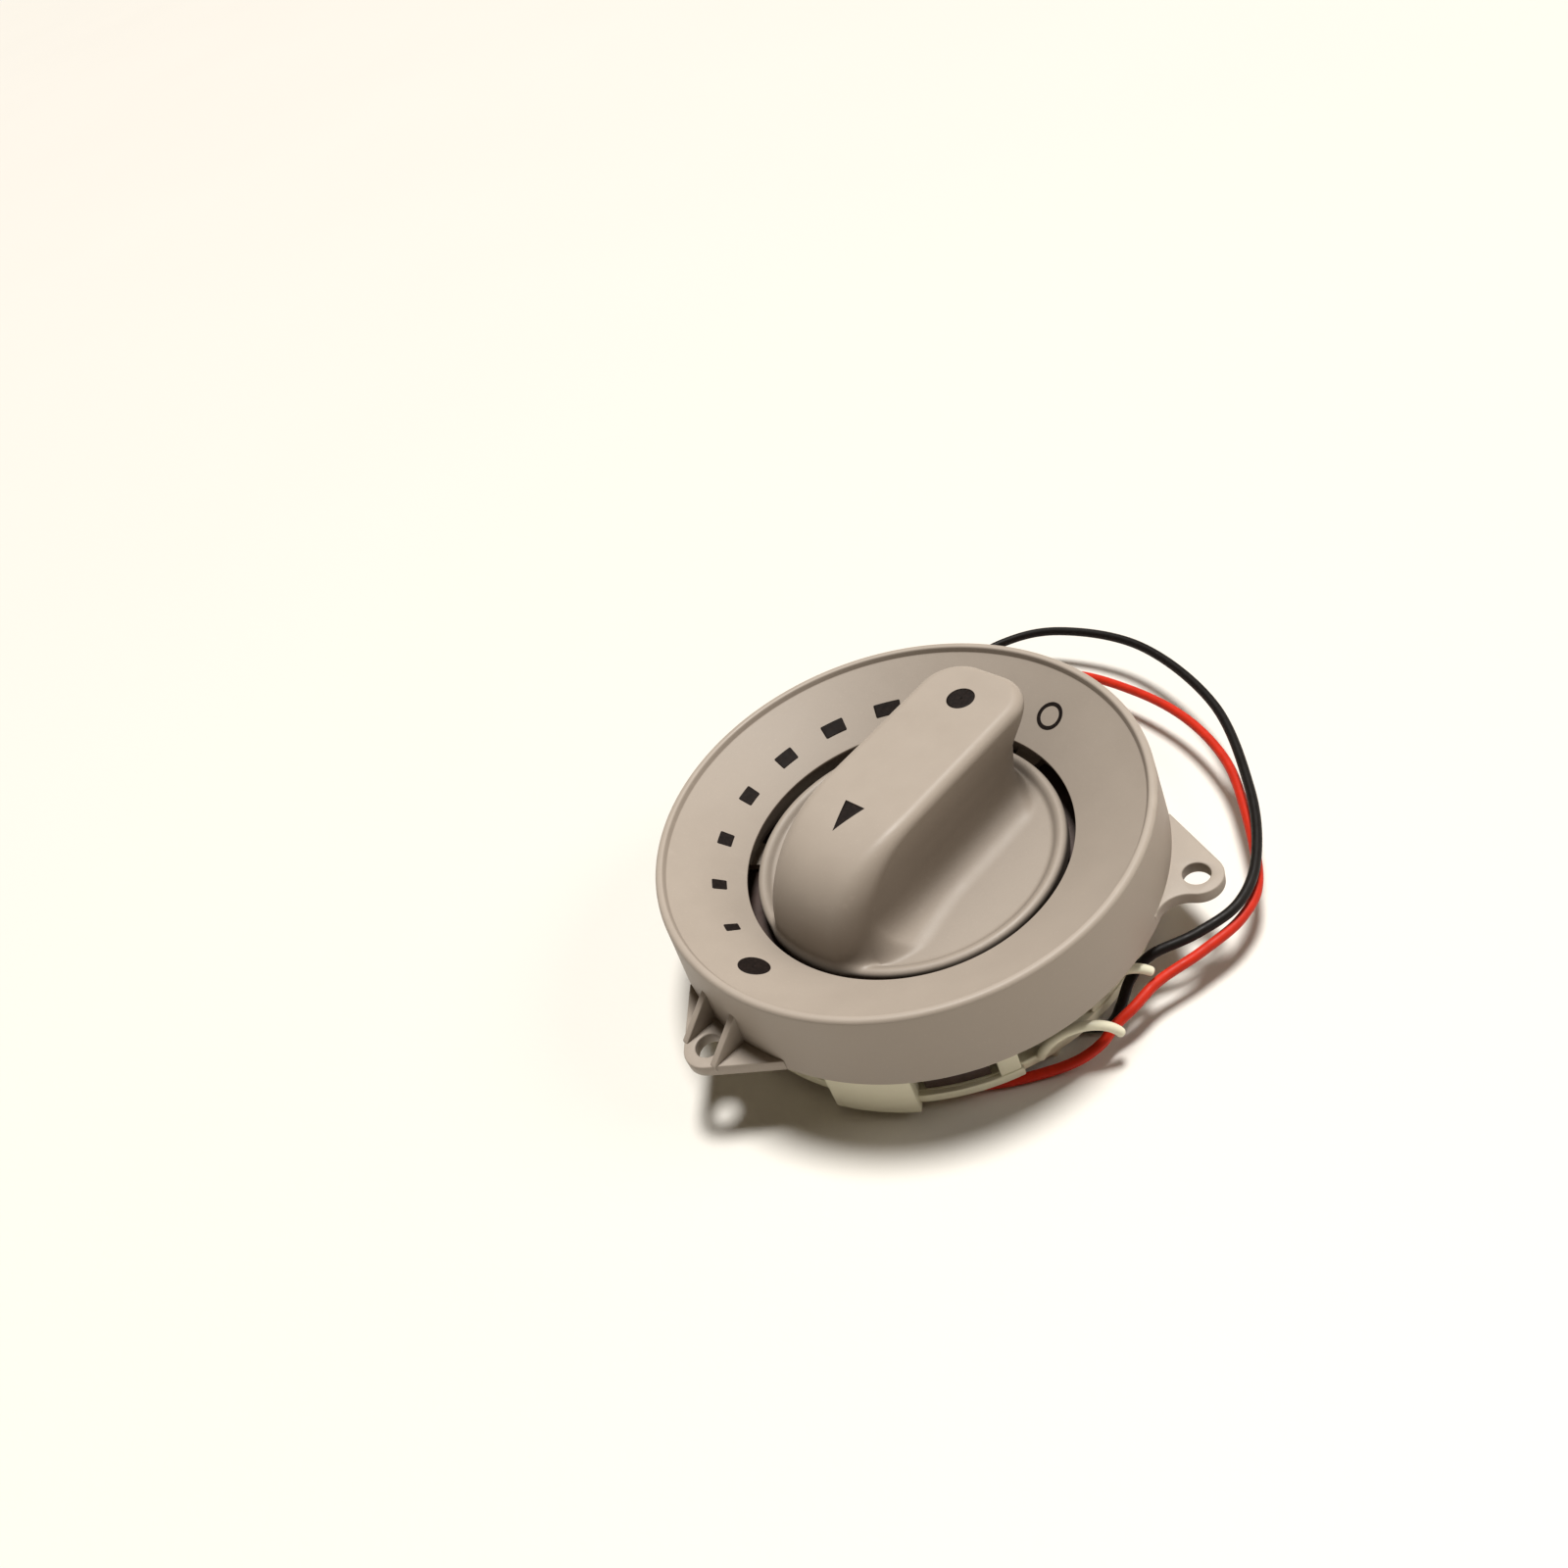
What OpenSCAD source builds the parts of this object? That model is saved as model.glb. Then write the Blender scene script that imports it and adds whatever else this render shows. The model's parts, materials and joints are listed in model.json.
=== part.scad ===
// Rotary battery switch: a dished dial in a round bezel with three screw lugs, a bar-grip knob,
// and a closed contact housing held on the back by a moulded carrier, with two leads.
// Millimetres. Origin: centre of the mounting plane, which is the underside of skirt and lugs.
// +Z runs up the knob's axis. Angles are counter-clockwise from +X, seen from the front.

/* [Bezel] */
// Radius of the rim at the top
rim_r = 50; // [49.5:0.5:51]
// Radius of the skirt at the mounting plane
skirt_r = 51.2; // [51:0.1:52]
// Height of the rim above the mounting plane
rim_z = 17.65; // [17:0.05:19]
// Height of the raised rim lip above the edge of the dial
lip_h = 1.2; // [0.8:0.1:1.5]
// Outer radius of the sloping dial face
dial_r = 48; // [47.5:0.1:48.2]
// Radius of the hole that the knob turns in
hole_r = 33.6; // [33.4:0.1:34.1]
// Height of the hole's edge above the mounting plane
hole_z = 7.7; // [7.4:0.1:8.5]
// Wall thickness of the bezel moulding
wall = 2; // [1.6:0.1:2.2]

/* [Screw lugs] */
// Circle diameter of the three screw holes
lug_pcd = 111.8; // [111:0.2:113]
// Diameter of a screw hole
lug_hole_d = 5.2; // [4.3:0.1:5.5]
// Thickness of a lug
lug_t = 2.8; // [2.2:0.1:3.5]
// Radius of a lug's round end
lug_end_r = 5; // [4.8:0.1:5.4]

/* [Dial marks] */
// Angle from one mark to the next, in degrees
mark_step = 18.7; // [18:0.1:19]
// Angle of the filled dot at the full end of the scale
full_dot_a = 211.4; // [210:0.1:213]
// Angular width of the narrowest bar
bar_first_w = 3; // [2:0.1:4]
// Growth in angular width from each bar to the next
bar_grow_w = 0.93; // [0.5:0.01:1]
// Radial length of a bar
bar_len = 2.7; // [2:0.1:4]

/* [Knob] */
// Radius of the knob's disc
disc_r = 31.8; // [31:0.1:32.5]
// Height of the grip's top face
grip_z = 26.5; // [25.5:0.1:28]
// Width of the grip
grip_w = 23.4; // [22:0.2:25]
// Reach of the grip from the axis at its square end
grip_reach = 33.6; // [33:0.1:33.8]
// Direction that the arrow points in at rest
arrow_a = 215.2; // [211:0.1:217]
// Knob travel from the full end of the scale to off
travel_a = 191; // [187:1:191]

/* [Spindle and rotor] */
// Radius of the spindle
spindle_r = 4; // [3.8:0.1:4]
// Radial running clearance of the spindle in its bush
run_gap = 0.05; // [0.02:0.01:0.1]
// Radius of the rotor's detent rim
rotor_r = 30; // [29.8:0.1:30]
// Radius of the detent ball
ball_r = 2; // [1.9:0.1:2]
// Depth that the ball drops into a notch
notch_depth = 0.8; // [0.5:0.1:0.8]
// Drop of the spiral cam over the whole travel
cam_drop = 1.2; // [0.8:0.1:1.2]

/* [Contact housing] */
// Outer radius of the housing
housing_r = 43.5; // [43:0.1:43.6]
// Height of the housing's top face
housing_top = -1; // [-1.2:0.1:-1]
// Height of the housing's underside
housing_bottom = -9.4; // [-9.6:0.1:-9.4]

/* [Rear carrier] */
// Radius of the carrier's flange
carrier_r = 47.5; // [47:0.1:48]
// Height of the flange's underside
carrier_bottom = -12; // [-12.4:0.1:-12]
// Length of the locating pegs below the flange
peg_len = 2.5; // [2.2:0.1:3]

/* [Leads] */
// Outer diameter of a lead's insulation
lead_d = 2; // [1.8:0.1:2]
// Straight pieces between two way points of a lead
lead_smooth = 4; // [3:1:5]

/* [Hidden] */
$fn = 96;
eps = 0.01;

bezel_grey = [0.74, 0.71, 0.68];
knob_grey = [0.70, 0.66, 0.62];
print_black = [0.08, 0.06, 0.06];
cream = [0.90, 0.88, 0.76];
phenolic = [0.22, 0.13, 0.10];

// Lugs, ribs and screws
lug_angles = [90, 210, 330];
ribbed_lug_a = 210;
scooped_lug_a = 330;
lug_root_a = 17;
lug_inner_x = 45;
scoop_y = -10;
rib_t = 1.5;
rib_offset = 3.7;
rib_top_z = 10.3;
rib_foot_r = 58.4;
screw_angles = [30, 150, 270];
screw_circle_r = 40;
screw_r = 1.45;
screw_hole_r = 1.55;
column_r = 3.2;

// Well under the knob: its wall stands back behind a thin edge, and drain slots ring its floor
floor_bottom = 0.6;
floor_top = 2.2;
well_in = hole_r + 2.4;
hole_edge_t = 0.4;
slot_in_r = 30.8;
slot_out_r = well_in + 0.6;
slot_sweep = 110;
boss_r = 8.5;
boss_top = 4;
bush_r = 6;
lid_top = housing_top + 1.4;

// Knob: underside, dish and grip
disc_bottom = 2.9;
dish_z = 4.3;
crest_r = 30.2;
crest_z = 6.8;
disc_inner_r = 9;
nose_u = -4;
nose_len = 27.2;
corner_r = 8.5;
edge_r = 3;
undercut = 9;
shell_t = 2.2;
hub_r = 7;
hub_bottom = 5;
flat_x = 3;
clip_gap = 0.35;

// Small notch in the disc's edge under the nose, where the moulding gate was cut off
gate_a = 186;
gate_w = 2.4;
gate_depth = 0.8;
gate_top = 5.4;

// Spindle: necked pilot and grooves for the seal and the circlip
pilot_r = 3;
clip_r = 3.2;
seal_z = 1.8;
clip_z = -1.3;

// Levels of the rotor's two rims, and of the parts that run on them
detent_low = -4.2;
rotor_top = -2.4;
rotor_bottom = -6;
cam_top = -4.4;
cam_r = 28;
ball_z = (detent_low + rotor_top) / 2;
ball_x = rotor_r + ball_r + run_gap;
seat_x = ball_x - notch_depth;
plug_x = 41;
board_top = -6.6;
board_bottom = -7.8;
board_r = 30;
track_t = 0.15;
cavity_r = housing_r - 1.8;
stop_r = 21.5;
stop_a = 60;
terminal_r = 36;
terminal_angles = [252, 288];
terminal_bottom = -13.8;
pin_r = 1;

// Keys on the housing that stand in the carrier's three windows
key_r = 46.2;
key_top = -4;
key_a = [254.8, 270.2];

// Contact lever: a knuckle, an arm along Y, and a nose that follows the cam
nose_tip_r = 1.2;
lever_x = -(cam_r + 2 * nose_tip_r + 0.1);
lever_pivot_y = -18;
lever_t = 0.4;
lever_low = -6.1;
lever_high = -4.55;
knuckle_r = 0.8;
post_top = lever_high + 0.4;
contact_y = 4;
contact_gap = 0.05;

mark_t = 0.12;
lead_r = lead_d / 2;
lead_sides = 10;
seam = 0.01;
lead_under = carrier_bottom - lead_r - 0.2;
carrier_top = 1.5;
flange_t = 2.4;

// ---------- shared helpers ----------

// Height of the sloping dial face at radius r
function dial_z(r) = hole_z + (r - hole_r) * (rim_z - lip_h - hole_z) / (dial_r - hole_r);

// Points of an arc
function arc(x, y, r, a0, a1, n) =
    [for (i = [0:n]) let (a = a0 + (a1 - a0) * i / n) [x + r * cos(a), y + r * sin(a)]];

// Point at radius r, angle a and height z
function polar(r, a, z) = [r * cos(a), r * sin(a), z];

// Catmull-Rom point at t between p1 and p2
function between(p0, p1, p2, p3, t) =
    0.5 * (2 * p1 + (p2 - p0) * t + (2 * p0 - 5 * p1 + 4 * p2 - p3) * t * t
    + (3 * p1 - p0 - 3 * p2 + p3) * t * t * t);

// Smooth run of points through the way points p
function smooth_path(p, n) = concat(
    [for (i = [0:len(p) - 2]) for (k = [0:n - 1])
        between(p[max(i - 1, 0)], p[i], p[i + 1], p[min(i + 2, len(p) - 1)], k / n)],
    [p[len(p) - 1]]);

module rod(a, b, r) {
    v = b - a;
    translate(a)
        rotate([0, acos(v[2] / norm(v)), atan2(v[1], v[0])])
            cylinder(r = r, h = norm(v), $fn = 32);
}

function unit(v) = v / norm(v);

// Direction of travel at point i of a run of points
function heading(p, i) = unit(p[min(i + 1, len(p) - 1)] - p[max(i - 1, 0)]);

// Round tube of radius r along points; up is any direction that the run never follows
module tube(points, r, sides, up) {
    n = len(points);
    ring_at = function(i) let (t = heading(points, i), u = unit(cross(up, t)), v = cross(t, u))
        [for (k = [0:sides - 1])
            points[i] + r * (u * cos(360 * k / sides) + v * sin(360 * k / sides))];
    sheath = [for (i = [0:n - 2]) for (k = [0:sides - 1]) let (next = (k + 1) % sides)
        [i * sides + k, (i + 1) * sides + k, (i + 1) * sides + next, i * sides + next]];
    first = [for (k = [0:sides - 1]) k];
    last = [for (k = [sides - 1:-1:0]) (n - 1) * sides + k];
    polyhedron([for (i = [0:n - 1]) each ring_at(i)], concat([first, last], sheath));
}

// Half-ring arch of round bar from p to q, rising above the line between them
module arch(p, q, rise, r) {
    half = norm(q - p) / 2;
    bend_r = (half * half + rise * rise) / (2 * rise);
    a = asin(half / bend_r);
    translate((p + q) / 2 + [0, 0, rise - bend_r])
        rotate([0, 0, atan2(q[1] - p[1], q[0] - p[0])]) rotate([90, 0, 0]) rotate(90 - a)
            rotate_extrude(angle = 2 * a) translate([bend_r, 0]) circle(r = r, $fn = 32);
}

module ring(r_out, r_in, z0, z1) {
    translate([0, 0, z0]) difference() {
        cylinder(r = r_out, h = z1 - z0);
        translate([0, 0, -1]) cylinder(r = r_in, h = z1 - z0 + 2);
    }
}

// Part of a ring from angle a0 to a1
module ring_sector(r_out, r_in, z0, z1, a0, a1) {
    rotate(a0) rotate_extrude(angle = a1 - a0)
        translate([r_in, z0]) square([r_out - r_in, z1 - z0]);
}

// Round bar with one flat on +X
module d_bar(r, flat, z0, z1) {
    translate([0, 0, z0]) difference() {
        cylinder(r = r, h = z1 - z0);
        translate([flat, -r - 1, -1]) cube([r + 1, 2 * r + 2, z1 - z0 + 2]);
    }
}

// ---------- bezel ----------

module bezel_profile() {
    lip_in = dial_r + 0.3;
    edge = 0.6;
    under = wall / cos(atan((dial_z(1) - dial_z(0))));
    well_r = well_in + wall - 0.2;
    inner_r = dial_r + 0.1;
    polygon(concat(
        [[skirt_r - wall, 0], [skirt_r, 0]],
        arc(rim_r - edge, rim_z - edge, edge, 0, 90, 5),
        [[lip_in, rim_z], [dial_r, dial_z(dial_r)], [hole_r, hole_z],
         [hole_r, hole_z - hole_edge_t], [well_in, dial_z(well_in) - under],
         [well_in, floor_top], [boss_r, floor_top], [boss_r, boss_top], [bush_r, boss_top],
         [bush_r, floor_bottom], [well_r, floor_bottom], [well_r, dial_z(well_r) - under],
         [inner_r, dial_z(inner_r) - under]]));
}

module lug_outline(scooped) {
    hole_x = lug_pcd / 2;
    side = lug_end_r * cos(45);
    root = skirt_r * [cos(lug_root_a), sin(lug_root_a)];
    difference() {
        union() {
            translate([hole_x, 0]) circle(r = lug_end_r);
            polygon([[lug_inner_x, 0], [lug_inner_x, root[1]], root, [hole_x + side, side],
                     [hole_x, 0]]);
            if (scooped)
                translate([lug_inner_x, scoop_y]) square([hole_x - lug_inner_x, -scoop_y]);
            else
                polygon([[lug_inner_x, 0], [hole_x, 0], [hole_x + side, -side],
                         [root[0], -root[1]], [lug_inner_x, -root[1]]]);
        }
        if (scooped) translate([hole_x, scoop_y]) circle(r = lug_end_r + 0.1);
        circle(r = skirt_r - wall / 2);
    }
}

module lug_rib(offset_y) {
    root_r = skirt_r - wall / 2 - 0.4;
    translate([0, offset_y + rib_t, 0]) rotate([90, 0, 0]) linear_extrude(rib_t)
        polygon([[root_r, lug_t / 2], [root_r, rib_top_z], [rib_foot_r, lug_t + 0.1],
                 [rib_foot_r, lug_t / 2]]);
}

// Bosses hang from the underside of the dial and stop on the housing's lid
module screw_bosses() {
    depth = wall / 2;
    intersection() {
        for (a = screw_angles) rotate(a) translate([screw_circle_r, 0, lid_top])
            cylinder(r = column_r, h = rim_z);
        rotate_extrude()
            polygon([[hole_r, 0], [dial_r, 0], [dial_r, dial_z(dial_r) - depth],
                     [hole_r, dial_z(hole_r) - depth]]);
    }
}

// Open sectors of the well's floor, between three strips that carry the bearing
module drain_slots() {
    start = (360 / len(screw_angles) - slot_sweep) / 2;
    for (a = screw_angles) rotate(a)
        ring_sector(slot_out_r, slot_in_r, floor_bottom - 1, floor_top + 0.3, start,
                    start + slot_sweep);
}

module bezel() {
    pilot_depth = 6.6;
    color(bezel_grey) difference() {
        union() {
            rotate_extrude($fn = 180) bezel_profile();
            for (a = lug_angles) rotate(a)
                linear_extrude(lug_t) lug_outline(a == scooped_lug_a);
            rotate(ribbed_lug_a) {
                lug_rib(rib_offset);
                lug_rib(-rib_offset - rib_t);
            }
            screw_bosses();
        }
        for (a = lug_angles) rotate(a) translate([lug_pcd / 2, 0, -1])
            cylinder(d = lug_hole_d, h = lug_t + 2);
        for (a = screw_angles) rotate(a) translate([screw_circle_r, 0, -1])
            cylinder(r = screw_hole_r, h = pilot_depth + 1);
        drain_slots();
    }
}

// Scale: a filled dot at full, bars that widen towards off, and an open ring at off
module dial_marks() {
    bars = 9;
    bar_r = 38.6;
    dot_r = 3.15;
    ring_r = 2.95;
    ring_line = 0.8;
    dot_at = 40.8;
    ring_at = 40.3;
    low_r = 36;
    high_r = 45;
    color(print_black) intersection() {
        rotate_extrude() polygon([[low_r, dial_z(low_r)], [high_r, dial_z(high_r)],
                                  [high_r, dial_z(high_r) + mark_t],
                                  [low_r, dial_z(low_r) + mark_t]]);
        union() {
            rotate(full_dot_a) translate([dot_at, 0, 0]) cylinder(r = dot_r, h = rim_z);
            for (i = [1:bars]) {
                w = bar_first_w + bar_grow_w * (i - 1);
                a = full_dot_a - mark_step * i;
                ring_sector(bar_r + bar_len / 2, bar_r - bar_len / 2, 0, rim_z,
                            a - w / 2, a + w / 2);
            }
            rotate(full_dot_a - mark_step * (bars + 1)) translate([ring_at, 0, 0])
                ring(ring_r, ring_r - ring_line, 0, rim_z);
        }
    }
}

// ---------- knob: u runs along the grip, away from the arrow ----------

module knob_frame() {
    rotate(arrow_a - 180) children();
}

// Outline of the grip seen from the side, shrunk by inset: an undercut end, a flat top, and a
// nose that runs down to the disc's edge
module grip_side(inset) {
    corner_u = grip_reach - edge_r;
    corner_z = grip_z - edge_r;
    rounded = edge_r - min(inset, edge_r - 0.5);
    shift = inset - (edge_r - rounded);
    nose = [nose_len - inset, grip_z - inset];
    nose_end_a = 166;
    polygon(concat(
        [[grip_reach - undercut - inset, disc_bottom]],
        arc(corner_u - shift, corner_z - shift, rounded, 0, 90, 5),
        [for (a = [90:5:nose_end_a]) [nose_u + nose[0] * cos(a), nose[1] * sin(a)]],
        [[nose_u + nose[0] * cos(nose_end_a), disc_bottom]]));
}

// Outline of the grip seen from above, shrunk by inset
module grip_plan(inset) {
    half = grip_w / 2 - inset;
    rounded = corner_r - inset;
    corner_u = grip_reach - corner_r;
    corner_v = grip_w / 2 - corner_r;
    nose_half_a = asin(half / (disc_r - inset));
    polygon(concat(
        arc(0, 0, disc_r - inset, 180 - nose_half_a, 180 + nose_half_a, 8),
        arc(corner_u, -corner_v, rounded, -90, 0, 6),
        arc(corner_u, corner_v, rounded, 0, 90, 6)));
}

module grip_solid(inset) {
    intersection() {
        rotate([90, 0, 0]) translate([0, 0, -grip_w])
            linear_extrude(2 * grip_w) grip_side(inset);
        linear_extrude(grip_z + 1) grip_plan(inset);
    }
}

// Dished disc with a rolled lip
module knob_disc() {
    roll = disc_r - crest_r;
    steepness = 5;
    steps = 10;
    rotate_extrude($fn = 144) polygon(concat(
        [[disc_inner_r, disc_bottom], [disc_r, disc_bottom]],
        arc(crest_r, crest_z - roll, roll, 0, 90, 6),
        [for (i = [steps - 1:-1:0]) let (r = disc_inner_r + (crest_r - disc_inner_r) * i / steps)
            [r, dish_z + (crest_z - dish_z) * pow(r / crest_r, steepness)]]));
}

// Concave blend between the grip's side and the dish
module grip_fillet() {
    r = 5;
    half_length = 23;
    low = dish_z - 0.8;
    v = grip_w / 2 - 0.4;
    intersection() {
        difference() {
            translate([-half_length, v, low]) cube([2 * half_length, r, r]);
            translate([-half_length - 1, v + r + 0.3, low + r + 1]) rotate([0, 90, 0])
                cylinder(r = r + 0.2, h = 2 * half_length + 2);
        }
        cylinder(r = crest_r - 2, h = grip_z);
    }
}

module knob() {
    bore_top = grip_z - 6;
    web_t = 1.6;
    color(knob_grey) knob_frame() difference() {
        union() {
            knob_disc();
            difference() {
                grip_solid(0);
                translate([0, 0, -eps]) grip_solid(shell_t);
                translate([0, 0, -1]) cylinder(r = disc_inner_r, h = disc_bottom + 1.1);
            }
            grip_fillet();
            mirror([0, 1, 0]) grip_fillet();
            translate([0, 0, hub_bottom]) cylinder(r = hub_r, h = grip_z - hub_bottom - 1);
            translate([-18, -web_t / 2, hub_bottom]) cube([44, web_t, 15]);
        }
        d_bar(spindle_r + run_gap, flat_x + clip_gap, disc_bottom - 1, bore_top);
        rotate(gate_a) translate([disc_r - gate_depth, -gate_w / 2, disc_bottom - 1])
            cube([gate_depth + 1, gate_w, gate_top - disc_bottom + 1]);
    }
}

// Arrow and dot on the grip's top
module knob_marks() {
    dot_u = 24.4;
    dot_r = 2.9;
    arrow_tip = -15;
    arrow_base = -8;
    arrow_half = 2.45;
    color(print_black) knob_frame() intersection() {
        rotate([90, 0, 0]) translate([0, 0, -grip_w / 2]) linear_extrude(grip_w)
            difference() {
                translate([0, mark_t]) grip_side(0);
                grip_side(0);
            }
        translate([0, 0, grip_z / 2]) linear_extrude(grip_z) {
            translate([dot_u, 0]) circle(r = dot_r);
            polygon([[arrow_tip, 0], [arrow_base, -arrow_half], [arrow_base, arrow_half]]);
        }
    }
}

// Spring leaf between the spindle's flat and the flat in the knob's bore
module knob_clip() {
    leaf = [0.3, 4, 10];
    color("silver") knob_frame()
        translate([flat_x + 0.02, -leaf[1] / 2, 8]) cube(leaf);
}

// ---------- spindle and its bearing ----------

module spindle() {
    top = 20;
    pilot_end = housing_bottom + 0.4;
    shoulder = rotor_bottom - 0.2;
    flat_w = 10;
    seal_groove_h = 1.2;
    color("darkgray") knob_frame() difference() {
        union() {
            translate([0, 0, shoulder]) cylinder(r = spindle_r, h = top - shoulder);
            translate([0, 0, pilot_end]) cylinder(r = pilot_r, h = -pilot_end);
        }
        translate([flat_x, -flat_w / 2, boss_top + 1]) cube([5, flat_w, top]);
        translate([flat_x, -flat_w / 2, rotor_bottom - 1])
            cube([5, flat_w, rotor_top - rotor_bottom + 1]);
        ring(spindle_r + 1, pilot_r, seal_z - seal_groove_h / 2, seal_z + seal_groove_h / 2);
        ring(spindle_r + 1, clip_r, clip_z - 0.4, clip_z + 0.4);
    }
}

module bearing_bush() {
    flange_r = 7.4;
    flange_h = 0.7;
    bush_low = -0.4;
    color("goldenrod") difference() {
        union() {
            translate([0, 0, bush_low]) cylinder(r = bush_r, h = boss_top - bush_low);
            translate([0, 0, boss_top]) cylinder(r = flange_r, h = flange_h);
        }
        translate([0, 0, -1]) cylinder(r = spindle_r + run_gap, h = boss_top + 4);
    }
}

module spindle_seal() {
    section_r = 0.5;
    color("black") translate([0, 0, seal_z]) rotate_extrude()
        translate([pilot_r + section_r + 0.03, 0]) circle(r = section_r, $fn = 32);
}

module wave_washer() {
    color("silver") ring(bush_r, spindle_r + 0.15, -0.8, -0.5);
}

module circlip() {
    opening = 3;
    outer_r = 5.8;
    half_t = 0.35;
    color("dimgray") difference() {
        ring(outer_r, clip_r + 0.05, clip_z - half_t, clip_z + half_t);
        translate([0, -opening / 2, clip_z - 1]) cube([outer_r + 1, opening, 2]);
    }
}

// ---------- contact housing ----------

module housing_lid() {
    peg_r = 1.2;
    color(phenolic) difference() {
        union() {
            ring(cavity_r - 0.1, 7, housing_top, lid_top);
            ring(housing_r, cavity_r - 1, housing_top, lid_top);
            rotate(stop_a) translate([stop_r, 0, rotor_top - 0.9])
                cylinder(r = peg_r, h = 2.6);
        }
        for (a = screw_angles) rotate(a) translate([screw_circle_r, 0, -3])
            cylinder(r = screw_hole_r, h = 6);
    }
}

module contact_housing() {
    block_w = 8;
    mouth_x = rotor_r + 0.6;
    floor_t = 1.6;
    color(phenolic) difference() {
        union() {
            ring(housing_r, cavity_r, housing_bottom, housing_top);
            translate([0, 0, housing_bottom]) cylinder(r = housing_r - 0.5, h = floor_t);
            for (k = [0:2]) rotate(120 * k)
                ring_sector(key_r, cavity_r + 0.5, housing_bottom, key_top, key_a[0], key_a[1]);
            for (a = screw_angles) rotate(a) translate([screw_circle_r, 0, housing_bottom])
                cylinder(r = column_r, h = housing_top - housing_bottom);
            translate([mouth_x, -block_w / 2, housing_bottom + 1])
                cube([cavity_r - mouth_x + 0.5, block_w, housing_top - housing_bottom - 1]);
        }
        for (a = screw_angles) rotate(a) translate([screw_circle_r, 0, housing_bottom - 1])
            cylinder(r = screw_hole_r, h = 12);
        for (a = terminal_angles) rotate(a) translate([terminal_r, 0, housing_bottom - 1])
            cylinder(r = pin_r, h = 4);
        translate([mouth_x - 1, 0, ball_z]) rotate([0, 90, 0])
            cylinder(r = ball_r + run_gap, h = housing_r);
        translate([0, 0, housing_bottom + 0.3]) cylinder(r = pilot_r + run_gap, h = 3);
    }
}

module contact_board() {
    color("darkolivegreen") ring(board_r, 5, board_bottom, board_top);
}

// Graded track: its resistance is set by its width, from a narrow start to a wide end
module resistor_track() {
    start_a = 20;
    color("dimgray")
        ring_sector(25, 21.5, board_top, board_top + track_t, start_a, 360 - start_a);
}

module common_ring() {
    color("darkgoldenrod") ring(17, 14, board_top, board_top + track_t);
}

// Terminal pins stand in the housing's floor and take the leads underneath
module terminal_pins() {
    pin_top = housing_bottom + 2.6;
    color("goldenrod") for (a = terminal_angles) rotate(a)
        translate([terminal_r, 0, terminal_bottom])
            cylinder(r = pin_r, h = pin_top - terminal_bottom);
}

// ---------- rotor, detent and contact lever ----------

// Spiral cam: its radius falls evenly over the travel, then steps back up
function cam_radius(b) = cam_r - cam_drop * min(b, travel_a) / travel_a;
function cam_points() = [for (b = [-6:6:348]) let (r = cam_radius(max(b, 0)))
    [r * cos(180 + b), r * sin(180 + b)]];

module rotor() {
    slot_w = 2.9;
    slot_margin = 4;
    color("whitesmoke") difference() {
        union() {
            translate([0, 0, detent_low]) cylinder(r = rotor_r, h = rotor_top - detent_low);
            translate([0, 0, rotor_bottom]) linear_extrude(detent_low - rotor_bottom)
                intersection() {
                    polygon(cam_points());
                    circle(r = cam_r);
                }
        }
        ring(rotor_r + 1, cam_r - 3, cam_top, detent_low);
        for (a = [0, travel_a]) rotate(a) translate([seat_x, 0, ball_z])
            cylinder(r = ball_r + 0.1, h = 6, center = true);
        ring_sector(stop_r + slot_w / 2, stop_r - slot_w / 2, rotor_top - 1.1, rotor_top + 1,
                    stop_a - slot_margin, stop_a + travel_a + slot_margin);
        knob_frame() d_bar(spindle_r + 0.02, flat_x + 0.02, rotor_bottom - 1, rotor_top + 1);
    }
}

// Sprung bridge from the common ring to the track, with a dimple over each
module wiper() {
    strip = [12, 3, 0.2];
    dimple_low = board_top + track_t + 0.03;
    color("darkorange") rotate(300) {
        translate([13.5, -strip[1] / 2, rotor_bottom - strip[2]]) cube(strip);
        for (r = [15.5, 23.2]) translate([r, 0, dimple_low])
            cylinder(r = 0.8, h = rotor_bottom - strip[2] - dimple_low);
    }
}

module detent_ball() {
    color("silver") translate([ball_x, 0, ball_z]) sphere(r = ball_r);
}

// Compression coil behind the ball
module detent_spring() {
    turns = 4;
    per_turn = 10;
    coil_r = 1.4;
    wire_r = 0.25;
    start = ball_x + ball_r + wire_r + 0.05;
    length = plug_x - wire_r - 0.05 - start;
    points = [for (i = [0:turns * per_turn])
        [start + length * i / (turns * per_turn),
         coil_r * cos(360 * i / per_turn), ball_z + coil_r * sin(360 * i / per_turn)]];
    color("silver") for (i = [0:len(points) - 2]) hull() {
        translate(points[i]) sphere(r = wire_r, $fn = 6);
        translate(points[i + 1]) sphere(r = wire_r, $fn = 6);
    }
}

module detent_plug() {
    color("dimgray") translate([plug_x, 0, ball_z]) rotate([0, 90, 0])
        cylinder(r = ball_r, h = housing_r - plug_x - 0.3);
}

module contact_lever() {
    arm_h = lever_high - lever_low;
    color("peru") {
        translate([lever_x, lever_pivot_y, lever_low]) cylinder(r = knuckle_r, h = arm_h);
        translate([lever_x - lever_t / 2, lever_pivot_y, lever_low])
            cube([lever_t, contact_y + 1.2 - lever_pivot_y, arm_h]);
        translate([lever_x + nose_tip_r, 0, lever_low])
            cylinder(r = nose_tip_r, h = arm_h);
        translate([lever_x - 1, contact_y, (lever_low + lever_high) / 2]) rotate([0, 90, 0])
            cylinder(r = 0.6, h = 1);
    }
}

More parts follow.
